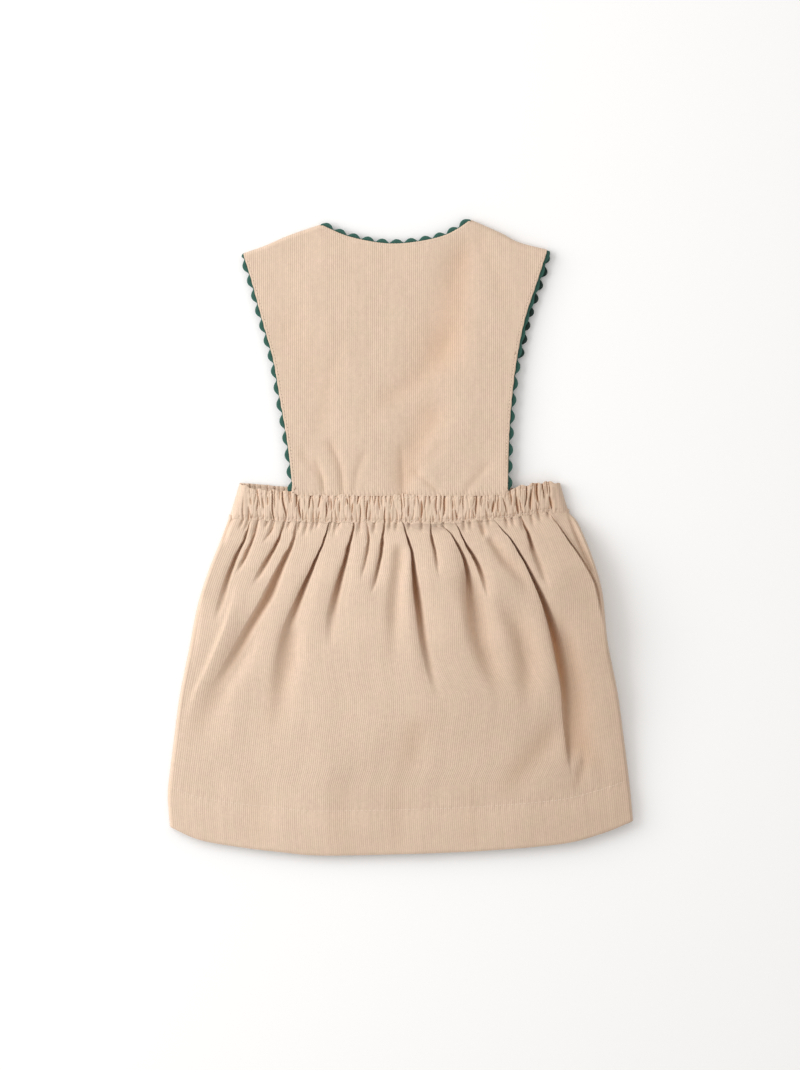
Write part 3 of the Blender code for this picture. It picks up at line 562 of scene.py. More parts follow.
class Cloth:
    """A grid of places on the face of one layer of cloth."""

    def __init__(self, across, down, place):
        self.across, self.down = across, down
        self.face = place(*np.meshgrid(across, down, indexing="ij"))

    def push_out(self, distance):
        """Moves the face square to itself."""
        normal = np.cross(np.gradient(self.face, axis=1), np.gradient(self.face, axis=0))
        self.face = self.face + unit(normal) * distance

    def at(self, across, down):
        """Places on the face, between its grid's own."""
        i = np.interp(across, self.across, np.arange(len(self.across)))
        j = np.interp(down, self.down, np.arange(len(self.down)))
        low_i = np.minimum(i.astype(int), len(self.across) - 2)
        low_j = np.minimum(j.astype(int), len(self.down) - 2)
        s, t = (i - low_i)[..., None], (j - low_j)[..., None]
        top = (1 - s) * self.face[low_i, low_j] + s * self.face[low_i + 1, low_j]
        foot = (1 - s) * self.face[low_i, low_j + 1] + s * self.face[low_i + 1, low_j + 1]
        return (1 - t) * top + t * foot

    def make(self, node, thickness, uv, finish, facing=1, **layers):
        """A node's cloth as a closed mesh: its face, and its back a thickness behind."""
        face, uv = (self.face, uv) if facing > 0 else (self.face[::-1], uv[::-1])
        piece = add_grid(node + "_cloth", face[:, ::-1], uv[:, ::-1])
        for key, values in layers.items():
            add_layer(piece, key, values[:, ::-1])
        shell = piece.modifiers.new("Cloth", "SOLIDIFY")
        shell.thickness = thickness
        shell.offset = -1
        finish_piece(piece, finish, 55)
        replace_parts(piece, node)
        CLOTHS[node] = self
        return piece


def add_grid(name, places, uv):
    """A grid primitive whose points are moved to the places given, in millimetres."""
    columns, rows = places.shape[:2]
    bpy.ops.object.select_all(action="DESELECT")
    bpy.ops.mesh.primitive_grid_add(x_subdivisions=columns - 1, y_subdivisions=rows - 1)
    piece = bpy.context.object
    piece.name = piece.data.name = name
    mesh = piece.data
    if len(mesh.vertices) != columns * rows:
        raise RuntimeError(f"{name}: the grid has {len(mesh.vertices)} points")
    flat = ((places - CENTRE) * MM).transpose(1, 0, 2).reshape(-1)
    mesh.vertices.foreach_set("co", flat)
    corner = np.empty(len(mesh.loops), int)
    mesh.loops.foreach_get("vertex_index", corner)
    layer = mesh.uv_layers[0]
    layer.name = "cloth"
    layer.data.foreach_set("uv", uv.transpose(1, 0, 2).reshape(-1, 2)[corner].reshape(-1))
    mesh.update()
    return piece


def add_layer(piece, key, values):
    """Gives each of a grid's points its own value, for the materials."""
    layer = piece.data.attributes.new(key, "FLOAT", "POINT")
    layer.data.foreach_set("value", values.T.reshape(-1))


def finish_piece(piece, finish, sharp):
    """Applies what modifiers the piece has, shades it and gives it its finish."""
    bpy.ops.object.select_all(action="DESELECT")
    piece.select_set(True)
    bpy.context.view_layer.objects.active = piece
    for modifier in list(piece.modifiers):
        bpy.ops.object.modifier_apply(modifier=modifier.name)
    bpy.ops.object.shade_smooth_by_angle(angle=math.radians(sharp))
    piece.data.materials.clear()
    piece.data.materials.append(finish)
    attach(piece, "root")


# -------------------------------------------------------------- materials
class Value:
    """A material's number or colour; arithmetic on it adds Math nodes."""

    def __init__(self, finish, socket):
        self.finish, self.socket = finish, socket

    def math(self, operation, *others):
        numbers = dict(enumerate((self, *others)))
        return self.finish.node("ShaderNodeMath", {"operation": operation}, numbers)

    def __add__(self, other):
        return self.math("ADD", other)

    def __mul__(self, other):
        return self.math("MULTIPLY", other)

    def __sub__(self, other):
        return self.math("SUBTRACT", other)

    def __rsub__(self, other):
        return (self * -1.0) + other

    def __pow__(self, other):
        return self.math("POWER", other)

    def clamped(self):
        """Held between nought and one."""
        return self.math("MINIMUM", 1.0).math("MAXIMUM", 0.0)


class Finish:
    """A material's node tree, with one method that adds any node."""

    def __init__(self, name, colour, roughness, sheen):
        self.material = bpy.data.materials.new(name)
        self.material.use_nodes = True
        self.material.diffuse_color = (*colour, 1.0)
        self.tree = self.material.node_tree
        self.shader = self.tree.nodes["Principled BSDF"]
        self.set("Base Color", (*colour, 1.0))
        self.set("Roughness", roughness)
        self.set("Sheen Weight", sheen)
        self.set("Sheen Roughness", 0.45)
        self.set("Sheen Tint", (*(c ** 0.4 for c in colour), 1.0))
        self.set("Specular IOR Level", 0.25)

    def set(self, name, value):
        self.join(self.shader.inputs[name], value)

    def join(self, socket, value):
        if isinstance(value, Value):
            self.tree.links.new(value.socket, socket)
        else:
            socket.default_value = value

    def node(self, kind, settings=None, inputs=None, output=0):
        made = self.tree.nodes.new(kind)
        for name, value in (settings or {}).items():
            setattr(made, name, value)
        for name, value in (inputs or {}).items():
            self.join(made.inputs[name], value)
        return Value(self, made.outputs[output])

    def cloth_map(self):
        """Millimetres across and along the cloth, from the piece's own map."""
        place = self.node("ShaderNodeUVMap", {"uv_map": "cloth"})
        across = self.node("ShaderNodeSeparateXYZ", inputs={0: place}, output=0)
        along = self.node("ShaderNodeSeparateXYZ", inputs={0: place}, output=1)
        return across, along

    def layer(self, key):
        """A value that the piece's own points carry."""
        return self.node("ShaderNodeAttribute", {"attribute_name": key}, output=2)

    def place(self, across, along):
        return self.node("ShaderNodeCombineXYZ", inputs={0: across, 1: along})

    def noise(self, place, scale, detail=2.0, roughness=0.5):
        return self.node("ShaderNodeTexNoise", inputs={
            "Vector": place, "Scale": scale, "Detail": detail, "Roughness": roughness})

    def mix(self, share, first, second):
        return self.node("ShaderNodeMix", {"data_type": "RGBA"},
                         {0: share, 6: first, 7: second}, output=2)

    def tinted(self, light, by):
        """A colour with each of its channels multiplied."""
        return self.node("ShaderNodeMix", {"data_type": "RGBA", "blend_type": "MULTIPLY"},
                         {0: 1.0, 6: light, 7: (*by, 1.0)}, output=2)

    def grained(self, colour, scale, dark, pale):
        """Covers the piece in a fine uneven grain, and gives the grain."""
        place = self.node("ShaderNodeTexCoord", output=3)
        grain = self.noise(place, scale)
        self.set("Base Color", self.mix(grain, shade(colour, dark), shade(colour, pale)))
        return grain

    def wave(self, phase):
        """Nought to one, a whole wave for each unit of phase."""
        return (phase * TURN).math("COSINE") * 0.5 + 0.5

    def bump(self, height, distance, strength=1.0):
        normal = self.node("ShaderNodeBump", inputs={
            "Height": height, "Distance": distance, "Strength": strength})
        self.set("Normal", normal)


def shade(colour, by):
    return (*(min(c * by, 1.0) for c in colour), 1.0)


def needlecord(colours, sizes):
    """Cut pile in fine lengthwise ribs, paler along their tops and darker between them, partly the
    cord's own colour and partly painted light and shade.
    """
    colour = tuple(colours.cloth)
    finish = Finish("needlecord_cloth", colour, 0.95, 0.22)
    across, along = finish.cloth_map()
    pitch = sizes.wale / MM
    wander = finish.noise(finish.place(across * 0.05, along * 0.02), 1.0) - 0.5
    rib = finish.wave((across + wander * 0.5) * (1 / pitch))
    groove = (1.0 - rib) ** 2.0
    streak = finish.noise(finish.place(across * (0.55 / pitch), along * 0.012), 1.0, 3.0, 0.65)
    nap = finish.noise(finish.place(across, along * 0.6), 1.7, 3.0, 0.6)
    slub = finish.noise(finish.place(across, along * 0.7), 0.42, 3.0, 0.6)
    cloud = finish.noise(finish.place(across, along), 0.035, 2.0, 0.5)
    patchy_grooves = finish.noise(finish.place(across + 40.0, along), 0.16, 2.0, 0.5)
    # Partly painted light and shade: rib tops are coloured paler, and the grooves darker in uneven
    # patches.
    pile = finish.mix(rib, shade(colour, 0.97), shade(colour, 1.04))
    clear = ((patchy_grooves - 0.5) * 2.0 + (slub - 0.5) * 2.6 + 1.0).math("MAXIMUM", 0.1)
    sunk = finish.mix(groove * clear * colours.rib_contrast, pile, (*colours.groove, 1.0))
    tone = ((streak - 0.5) * 0.62 + (nap - 0.5) * 0.95 + (slub - 0.5) * 0.95
            + (cloud - 0.5) * 0.20)
    light = finish.mix((tone + 0.5).clamped(), shade(colour, 0.74), shade(colour, 1.24))
    warm = finish.noise(finish.place(across, along + 70.0), 0.09, 2.0, 0.6)
    light = finish.mix(((warm - 0.5) * 2.2 + 0.5).clamped(),
                       finish.tinted(light, (0.985, 1.0, 0.985)),
                       finish.tinted(light, (1.015, 0.985, 1.02)))
    cord = finish.mix(0.60, sunk, light)
    # Painted shade: the nap layer darkens the colour towards the skirt's right and foot, the
    # waistband's right end and the whole bib a little.
    cord = finish.mix(finish.layer("nap"), cord, finish.tinted(cord, colours.nap))
    # Painted shade: the hollow layer colours folds, creases and ticks darker and warmer.
    deep = tuple(c * d for c, d in zip(colour, colours.depth)) + (1.0,)
    finish.set("Base Color", finish.mix(finish.layer("hollow") * HOLLOW_PAINTED_SHADE, cord, deep))
    # Painted light: the hollow layer makes folds glow faintly, in place of light passed on between
    # their walls.
    unlit, painted_fold_glow = (0.0, 0.0, 0.0, 1.0), (*colours.painted_fold_glow, 1.0)
    finish.set("Emission Color", finish.mix(finish.layer("hollow"), unlit, painted_fold_glow))
    finish.set("Emission Strength", 1.0)
    finish.material.cycles.emission_sampling = "NONE"
    finish.bump(rib ** 0.7 + nap * 0.35, 0.16 * MM, 0.8)
    return finish.material


def ric_rac(colours):
    """Woven zigzag braid: threads cross it on a slant, each way from its middle."""
    colour = tuple(colours.braid)
    finish = Finish("ric_rac_braid", colour, 0.62, 0.25)
    across, along = finish.cloth_map()
    slant = across.math("ABSOLUTE") * 0.8
    thread = finish.wave((along + slant) * (1 / 0.85))
    fuzz = finish.noise(finish.place(across, along), 2.6, 3.0, 0.6)
    base = finish.mix(thread, shade(colour, 0.62), shade(colour, 1.22))
    lit = finish.mix(fuzz, shade(colour, 0.7), shade(colour, 1.5))
    # Painted shade: the hollow layer darkens the stretch of the front braid that slips out under
    # the back.
    finish.set("Base Color", finish.mix(finish.layer("hollow") * HOLLOW_PAINTED_SHADE,
                                        finish.mix(0.35, base, lit), shade(colour, 0.14)))
    finish.bump(thread + fuzz * 0.5, 0.18 * MM, 0.8)
    return finish.material


def thread(name, colour):
    """Sewing thread, two plies twisted."""
    colour = tuple(colour)
    finish = Finish(name, colour, 0.6, 0.1)
    finish.bump(finish.grained(colour, 2600.0, 0.85, 1.1), 0.08 * MM, 0.6)
    return finish.material


def paper(colours):
    """Plain pale studio floor."""
    tone = tuple(colours.floor)
    finish = Finish("studio_floor", tone, 0.9, 0.0)
    finish.grained(tone, 900.0, 0.998, 1.002)
    return finish.material


def made_once(name, make, *facts):
    return bpy.data.materials.get(name) or make(*facts)


# ---------------------------------------------------------------- the skirt
def tick_cut(ticks, x, down, wobble):
    """Depth that the elastic's ticks take out of the band at each place: each is
    pointed at its ends, and one of its walls is steep."""
    total = np.zeros(x.shape)
    for k, tick in enumerate(ticks):
        # A tick that comes near an edge of the band runs on past it.
        begins = tick["begins"] if tick["begins"] > 0.1 else -0.35
        ends = tick["ends"] if tick["ends"] < 1.0 else 1.4
        share = np.clip((down - begins) / (ends - begins), 0.0, 1.0)
        point = np.sqrt(4 * share * (1 - share))
        slant = 1.6 * tick["slant"] + 0.9 * math.sin(4.1 * k)
        centre = tick["x"] + slant * (down - 0.5) + wobble * np.sin(6.5 * down + 1.9 * k)
        width = TICK_HALF_WIDTH * (0.7 + 0.6 * math.sin(2.3 * k) ** 2) * (0.3 + 0.7 * point)
        reach = (x - centre) / width * (1 if math.sin(2.7 * k) > -0.4 else -1)
        keen, soft = bell(reach, 1.6), bell(reach / 3.2, 1.3)
        wall = np.where(reach > 0, 0.45 * keen + 0.55 * soft, keen)
        total = np.maximum(total, tick["depth"] * point * wall)
    return total


def small_ticks(number, reach, foot):
    """Short gathers along an edge of the band, spaced by a formula."""
    begins, width = SMALL_TICK_SPAN
    rows = []
    for k in range(number):
        x = begins + width * (k + 0.5 + 0.38 * math.sin(12.9 * k + 3.0 * foot)) / number
        long = reach * (0.6 + 0.8 * math.sin(5.3 * k + foot) ** 2)
        slant = 1.6 * math.sin(3.7 * k + 2.0 * foot)
        depth = 0.25 + 0.45 * math.sin(7.1 * k + foot) ** 2
        rows.append((x, slant, depth, 1.0 - long if foot else -0.35, 1.4 if foot else long))
    return rows_of(("x", "slant", "depth", "begins", "ends"), rows)


def pleat_cut(ticks, x, fall):
    """What share of the skirt's height is left where the band's ticks run on into it,
    fanning out and growing wider as they fall."""
    left = np.ones(x.shape)
    for tick in ticks:
        if tick["runs"]:
            centre = tick["x"] + tick["slant"] * 0.5 + fall * tick["x"] * 0.0030
            width = 0.8 + 0.09 * fall
            whole = fade(fall, 0.35 * tick["runs"], 1.3 * tick["runs"])
            left = left * (1 - PLEAT_DEPTH * whole * bell((x - centre) / width))
    return left


def seam_sway(x):
    """How far the seam under the band strays up and down as the gathers draw it."""
    slow = 0.30 * np.sin(x / 1.9 + 1.6 * np.sin(x / 7.3))
    return slow + 0.22 * np.sin(x / 0.83 + 2 * np.sin(x / 5))


def skirt_cloth(down):
    """The wall's thickness, which grows where the hem is turned up."""
    return CLOTH + (HEM_CLOTH - CLOTH) * ease((down - HEM_SHARE) / HEM_STEP)


def hem_pucker(x, down):
    """The stitching draws a groove with small puckers on both sides of it."""
    off = (down - HEM_SEWN) * SKIRT_LENGTH
    waver = np.sin(TURN * (x + 0.35 * off) / 4.3 + 1.5 * np.sin(x / 9))
    stitches = np.sin(TURN * x / 2.9 + 2 * np.sin(x / 15))
    return 0.06 * bell(off / 4.0) * waver - HEM_GROOVE * bell(off / 1.1) * (1 + 0.5 * stitches)


class Slit:
    """One of the skirt's slits in shares of its width and length."""

    STEPS = 90

    def __init__(self, row):
        self.row = row
        line = Edge(row["path"]).at(np.linspace(0, 1, self.STEPS))
        self.across, down = SKIRT.shares_of(line, SKIRT_WIDTH, SKIRT_LENGTH)
        self.down = np.maximum.accumulate(down)
        self.turn = 1.7 * row["path"][0][0]
        self.home = self.across[0]
        self.half = row["hidden"] / 2 / SKIRT_CUT[0]

    def lane(self, columns):
        """Where the grid's columns lie in it: -1 at its left edge and 1 at its right."""
        return np.clip((columns - self.home) / self.half, -1.0, 1.0)

    def share(self, down):
        return np.interp(down, self.down, np.linspace(0, 1, self.STEPS))

    def deep(self, down):
        """What share of the height it takes: it starts at the waist and runs out."""
        share, marks = self.share(down), np.linspace(0, 1, len(self.row["deep"]))
        return ease((share + 0.05) / 0.13) * np.interp(share, marks, self.row["deep"])

    def whole(self, down):
        """How much of its cloth is turned in."""
        return np.minimum(1.0, 4 * self.deep(down))

    def half_width(self, down):
        marks = np.linspace(0, 1, len(self.row["open"]))
        fall = down * SKIRT_LENGTH
        uneven = 0.12 * np.sin(fall / 2.3 + self.turn) + 0.09 * np.sin(fall / 1.2 + 2 * self.turn)
        return (np.interp(self.share(down), marks, self.row["open"])
                * (1 + uneven * fade(fall, 0.0, 45.0)))

    def sway(self, down):
        """How far it strays from its path, most where the cloth is gathered tight."""
        fall = down * SKIRT_LENGTH
        sway = 0.20 * np.sin(fall / 3.1 + self.turn) + 0.09 * np.sin(fall / 1.3 + 3 * self.turn)
        return sway * fade(fall, 0.0, 60.0)

    def edge(self, down, side, wide, free):
        """Where its left or right edge lies, which past its end lies where it may."""
        held = (np.interp(down, self.down, self.across)
                + (side * self.half_width(down) + self.sway(down)) / wide)
        loose = ease((down - self.down[-1]) / max(0.12, 0.8 * self.down[-1]))
        return held + (free - held) * loose


SLITS = [Slit(row) for row in SKIRT_SLITS]


def followed(columns, rows):
    """The grid's shares across, drawn along the slits so that their walls are crisp."""
    wide = np.array([SKIRT.at(1.0 + 0 * rows, rows) - SKIRT.at(0 * rows, rows)])[0, :, 0]
    marks, places = [0.0, 1.0], [np.zeros(len(rows)), np.ones(len(rows))]
    for slit in sorted(SLITS, key=lambda slit: -slit.down[-1]):
        for side in (-1, 1):
            mark = slit.home + side * slit.half
            k = int(np.searchsorted(marks, mark))
            share = (mark - marks[k - 1]) / (marks[k] - marks[k - 1])
            free = (1 - share) * places[k - 1] + share * places[k]
            marks.insert(k, mark)
            places.insert(k, slit.edge(rows, side, wide, free))
    lines = np.maximum.accumulate(np.array(places), axis=0)
    return np.array([np.interp(columns, marks, lines[:, r]) for r in range(len(rows))]).T


def slit_cut(columns, down):
    """What share of the height the slits take, and how their walls lean."""
    cut, shift = np.zeros(columns.shape), np.zeros(columns.shape)
    for slit in SLITS:
        lane = slit.lane(columns)
        cut += slit.deep(down) * (0.5 + 0.5 * np.cos(np.pi * lane))
        steep = -1 + 2 * ((lane + 1) / 2) ** slit.row["steep"] - lane
        shift += slit.half_width(down) * steep * slit.whole(down)
    return cut, shift


def soft_folds(x, y):
    """What share of the height the soft folds leave at each place, and the shade painted along
    them.
    """
    kept, painted_fold_shade = np.ones(x.shape), np.zeros(x.shape)
    for fold in SOFT_FOLDS:
        share, side, past = beside(fold["path"], x, y)
        left, right = between(fold["left"], share), between(fold["right"], share)
        depth = fold["depth"] * fade(share, fold["lasts"], 1 - fold["lasts"])
        if fold["starts"]:
            depth = depth * ease(share / fold["starts"])
        lean = FOLD_LEAN * left if fold["depth"] > 0 else 0.0
        kept = kept * (1 - depth * bell(reach_of(side + lean, past, left, right, 1.5 * right)))
        if fold["depth"] > 0:
            painted_fold_shade = painted_fold_shade + depth * bell(reach_of(side, past, left, right, 1.5 * right))
    return kept, painted_fold_shade


def height_left(x, y, down, cut):
    """What share of the crests' height the slits, the soft folds and the ticks leave."""
    left = 1 - cut
    for slit in SKIRT_SLITS:
        # The hollow that it lies in is steeper on its left.
        share, side, past = beside(slit["path"], x, y)
        width = between(slit["spread"], share)
        reach = reach_of(side, past, 0.55 * width, width, 1.5 * width)
        whole = ease(share / 0.5) * fade(share, 0.75, 0.25)
        left = left * (1 - slit["soft"] * whole * bell(reach))
    share, side, _ = beside(SKIRT_SLITS[-1]["path"], x, y)
    strip = ease(-side / 1.5) * fade(share, 0.75, 0.25) * ease(share / 0.1)
    pleats = pleat_cut(BAND_TICKS, x, np.maximum(down, 0.0) * SKIRT_LENGTH)
    return left * soft_folds(x, y)[0] * (1 - STRIP_DROP * strip) * pleats


def back_skirt_place(columns, down):
    """The face that shows.  The rows above the waist run up under the waistband."""
    rows = np.maximum(down[0], 0.0)
    across = followed(columns[:, 0], rows)
    inside = np.broadcast_to(rows, across.shape)
    cut, shift = slit_cut(columns, inside)
    flat = SKIRT.at(across, inside)
    x, y = flat[..., 0], flat[..., 1]
    crest = np.interp(down, CREST["down"], CREST["rise"])
    crest = crest * (1 + CREST_RIGHT_GAIN * ease(across) * ease(down / 0.1))
    wave = 0.36 * ripple(x, y, 34.0, 0.8) + 0.10 * ripple(x, y, 13.0, 2.1)
    rise = crest * height_left(x, y, down, cut) + wave * ease(down / 0.2) + hem_pucker(x, down)
    turned = 1 - roll((1 - down) * SKIRT_LENGTH, HEM_ROUND)
    above = np.maximum(-down, 0.0) * SKIRT_LENGTH
    low = 2 * skirt_cloth(down) + SEAM_GAP - SIDE_LOW
    rise = rise - ease(above / 2.0) * WAIST_TUCK - HEM_SINK * turned
    z = SIDE_LOW + (low + rise) * side_turn(across)
    flat[..., 0] += shift * side_turn(across)
    flat[..., 1] += above + seam_sway(x) * fade(down * SKIRT_LENGTH, 0.0, 5.0)
    return raised(flat, z)


def cut_map(cloth, size):
    """Millimetres on the cut piece for each place of the grid."""
    u, v = np.meshgrid(cloth.across * size[0], cloth.down * size[1], indexing="ij")
    return np.stack([u, v], axis=-1)


def skirt_nap(x, y):
    """Painted shade over the skirt: most to the right and low down, and a patch of painted shadow
    to the right of the largest slit.
    """
    turn = -70.0 * ease((-y - 90.0) / 80.0)
    # Painted shadow that the largest slit's left panel casts to its right.
    beside_fold = bell(np.hypot((x - 116.0) / 7.0, (y + 110.0) / 25.0))
    over = 0.40 * ease((x - turn) / 45.0) + 0.50 * ease((x - 30.0) / 100.0) + 0.9 * beside_fold
    return np.minimum(over, 1.0)


def gathered_map(cloth, columns, rows):
    """Where each place lies on the cut panel: the ribs keep their pitch between the
    slits, and the slits take up the cloth that is gathered."""
    x = cloth.face[..., 0] - cloth.face[:1, :, 0]
    spare = np.maximum(SKIRT_FLAT_WIDTH - x[-1], 0.0)
    held = np.array([slit.row["hidden"] * slit.whole(rows) for slit in SLITS])
    # They take up more or less than their own, so that the panel comes out whole.
    held = held * np.minimum(1.3, spare / np.maximum(held.sum(axis=0), 1.0))
    left_over = 1 + (spare - held.sum(axis=0)) / x[-1]
    u = x * left_over
    for slit, taken in zip(SLITS, held):
        u = u + ease((slit.lane(columns) + 1) / 2)[:, None] * taken
    return np.stack([u, np.broadcast_to(rows * SKIRT_CUT[1], u.shape)], axis=-1)


def make_back_skirt(sizes, finish):
    columns = graded((0.034, 22), (0.966, 500), (1.0, 22))
    rows = graded((0.012, 4), (0.10, 22), (0.42, 26), (0.855, 16), (0.885, 7), (0.985, 5),
                  (1.0, 3))
    rows = np.concatenate([[-0.012, -0.004], rows])     # two of them run up under the band
    cloth = Cloth(columns, rows, back_skirt_place)
    below = np.maximum(rows, 0.0)
    # Painted shade: the slits and soft folds are coloured darker by the hollow layer, and the skirt
    # darker to the right and low down by the nap layer.
    cut = slit_cut(*np.meshgrid(columns, below, indexing="ij"))[0]
    soft = soft_folds(cloth.face[..., 0], cloth.face[..., 1])[1]
    cut = np.clip(cut, 0.0, 1.0)
    hollow = cut ** 1.3 + FOLD_PAINTED_SHADE * soft * (1 - cut)
    return cloth.make("skirt_back", sizes.cloth, gathered_map(cloth, columns, below),
                      finish, hollow=np.clip(hollow, 0.0, 1.0),
                      nap=skirt_nap(cloth.face[..., 0], cloth.face[..., 1]))


def front_skirt_place(across, down):
    """The face it lies on: level, with the back's folds, the other way round, pressed
    in as shallow hollows."""
    left, right = moved(SKIRT_LEFT, x=SIDE_INSET), moved(SKIRT_RIGHT, x=-SIDE_INSET)
    hem = moved([left[-1], *HEM_LINE[1:-1], right[-1]], y=FRONT_HEM_SHORT)
    sheet = Sheet(SKIRT.top, Edge(hem), Edge([*left[:-1], hem[0]]),
                  Edge([*right[:-1], hem[-1]]))
    flat = sheet.at(across, down)
    x, y = flat[..., 0], flat[..., 1]
    hollow = np.zeros(x.shape)
    for slit in SKIRT_SLITS:
        path = [(6.0 - px, py) for px, py in slit["path"]]
        share, side, past = beside(path, x, y)
        width = 0.5 * between(slit["spread"], share)
        reach = reach_of(side, past, width, width, 1.5 * width)
        whole = fade(share, 0.35, 0.65)
        hollow = np.maximum(hollow, max(slit["deep"]) * whole * bell(reach, 1.6))
    z = FLOOR_GAP + 0.85 * hollow * fade(down, 0.7, 0.3)
    z = z + 0.4 * bell((down - HEM_SEWN) * SKIRT_LENGTH / 0.9)
    return raised(flat, z)


def make_front_skirt(sizes, finish):
    rows = graded((0.10, 16), (0.85, 64), (0.89, 12), (1.0, 10))
    cloth = Cloth(graded((1.0, 230)), rows, front_skirt_place)
    return cloth.make("skirt_front", sizes.cloth + 0.2 * MM,
                      cut_map(cloth, SKIRT_CUT), finish, facing=-1)


# ------------------------------------------------------------ the waistband
def band_cut(x, down):
    """The back band's ticks and the short gathers along its edges."""
    cut = tick_cut(BAND_TICKS, x, down, TICK_WOBBLE) * (1 + 0.20 * ease((x - 40.0) / 50.0))
    for number, reach, foot in SMALL_TICKS:
        cut = np.maximum(cut, tick_cut(small_ticks(number, reach, foot), x, down, 0.2))
    return cut


def band_rows(down, width):
    """How near each place is to a row of the band's stitching."""
    return sum(bell((down - row) * BAND_CUT[1] / width) for row in BAND_STITCH)


def back_band_place(across, down):
    """The casing: it stands out between its rows of stitching, and its ticks cut in."""
    inside = np.clip(down, 0.0, 1.0)
    flat = BAND.at(across, inside)
    x = flat[..., 0]
    low, rolled = CLOTH + SEAM_GAP, side_roll(across)
    base = low + (BAND_MIDDLE + BAND_CLOTH / 2 - low) * rolled
    casing = ease((down - 0.04) / 0.16) * ease((0.98 - down) / 0.16)
    ends = ease(from_sides(across) / 0.035)
    puff = (BAND_PUFF + 0.30 * ripple(x, down * 3.5, 6.5, 2.3)) * casing
    puff = puff + 0.16 * ripple(x, down * 2.4, 2.7, 4.1) * (0.4 + 0.6 * casing)
    rows = band_rows(down, 0.7)
    pucker = 0.20 * rows * np.sin(TURN * (x + 5 * (down - 0.5)) / 2.5 + 1.4 * np.sin(x / 6))
    z = base + (puff + pucker - 0.10 * rows - TICK_DEPTH * band_cut(x, down)) * ends
    z = z - 0.9 * (1 - rolled) - 0.10 * bell(from_sides(inside) * 30)
    under = np.maximum(np.maximum(-down, down - 1.0), 0.0) * BAND_CUT[1]
    sway = seam_sway(x) * (ease((down - 0.7) / 0.3) + 1.6 * ease((0.3 - down) / 0.3))
    flat[..., 1] += np.where(down < 0, 1.2 * under, -under) + sway
    return raised(flat, z - 0.7 * under)


def make_back_band(sizes, finish):
    columns = graded((0.034, 24), (0.966, 1000), (1.0, 24))
    rows = graded((0.16, 9), (0.84, 26), (1.0, 9))
    rows = np.concatenate([[-0.03], rows, [1.03]])      # both edges turn in
    cloth = Cloth(columns, rows, back_band_place)
    down = np.meshgrid(columns, rows, indexing="ij")[1]
    # Painted shade: the ticks are coloured darker by the hollow layer, and the band darker towards
    # its right end by the nap layer.
    hollow = np.clip(band_cut(cloth.face[..., 0], down) * BAND_PAINTED_SHADE, 0.0, 1.0) ** 1.4
    return cloth.make("waistband_back", sizes.cloth, level_map(cloth), finish,
                      hollow=hollow, nap=0.8 * ease((cloth.face[..., 0] - 20.0) / 80.0))


def front_band_ticks():
    """The listed hollows, and the rest spaced by a formula."""
    widths = [1 + 0.26 * math.sin(1.9 * k + FRONT_SEED) + 0.14 * math.sin(0.73 * k + 2 * FRONT_SEED)
              for k in range(FRONT_GATHERS)]
    marks = np.cumsum(widths) / sum(widths)
    spaced = [FRONT_SPAN[0] + FRONT_SPAN[1] * mark for mark in marks if mark > FRONT_BY_HAND]
    return rows_of(("x", "slant", "depth", "begins", "ends"), [
        (x, 0.8 * math.sin(2.1 * k), 1.3 + 0.4 * math.sin(1.7 * k), -0.5, 1.5)
        for k, x in enumerate(FRONT_HOLLOWS + spaced)])


def front_band_place(across, down):
    """The inner face, which shows a little past the back band's top edge."""
    flat = FRONT_BAND.at(across, down)
    x = flat[..., 0]
    ends = ease(from_sides(across) / 0.03)
    cut = tick_cut(front_band_ticks(), x, down, 0.25)
    z = FRONT_BAND_LOW + (FRONT_BAND_RISE - cut - 0.5 * band_rows(down, 0.75)) * ends
    return raised(flat, z)


def make_front_band(sizes, finish):
    rows = graded((0.16, 6), (0.86, 12), (1.0, 6))
    cloth = Cloth(graded((1.0, 430)), rows, front_band_place)
    return cloth.make("waistband_front", sizes.cloth, cut_map(cloth, BAND_CUT), finish)


# ------------------------------------------------------------------ the bibs
def crease_depth(creases, x, y):
    """How deep the bib's creases are at each place."""
    total = np.zeros(x.shape)
    for crease in creases:
        share, side, past = beside(crease["path"], x, y, 16)
        left, right = between(crease["left"], share), between(crease["right"], share)
        reach = reach_of(side, past, left, right, 1.6 * right)
        whole = ease(share / 0.25) * ease((1.15 - share) / 0.35)
        total += crease["depth"] * whole * bell(reach, crease["keen"])
    return total


def sewn_edges(left, right, neck, x, y):
    """Distances to a bib's edges, and how far inside each its stitching lies."""
    for edge, stitch in ((left, EDGE_STITCH), (right, EDGE_STITCH), (neck, NECK_STITCH)):
        yield distance_to(edge.at(np.linspace(0, 1, 500)), x, y), stitch


def sewn_edge(distance, along, stitch):
    """Height of a turned and topstitched edge over the cloth inside it."""
    groove = 0.10 * bell((distance - stitch) / 0.45)
    pucker = 0.06 * bell((distance - stitch) / 1.6) * np.sin(along * TURN / PUCKER_PITCH)
    return pucker - groove * (1 + 0.6 * np.sin(along * TURN / STITCH_PITCH))


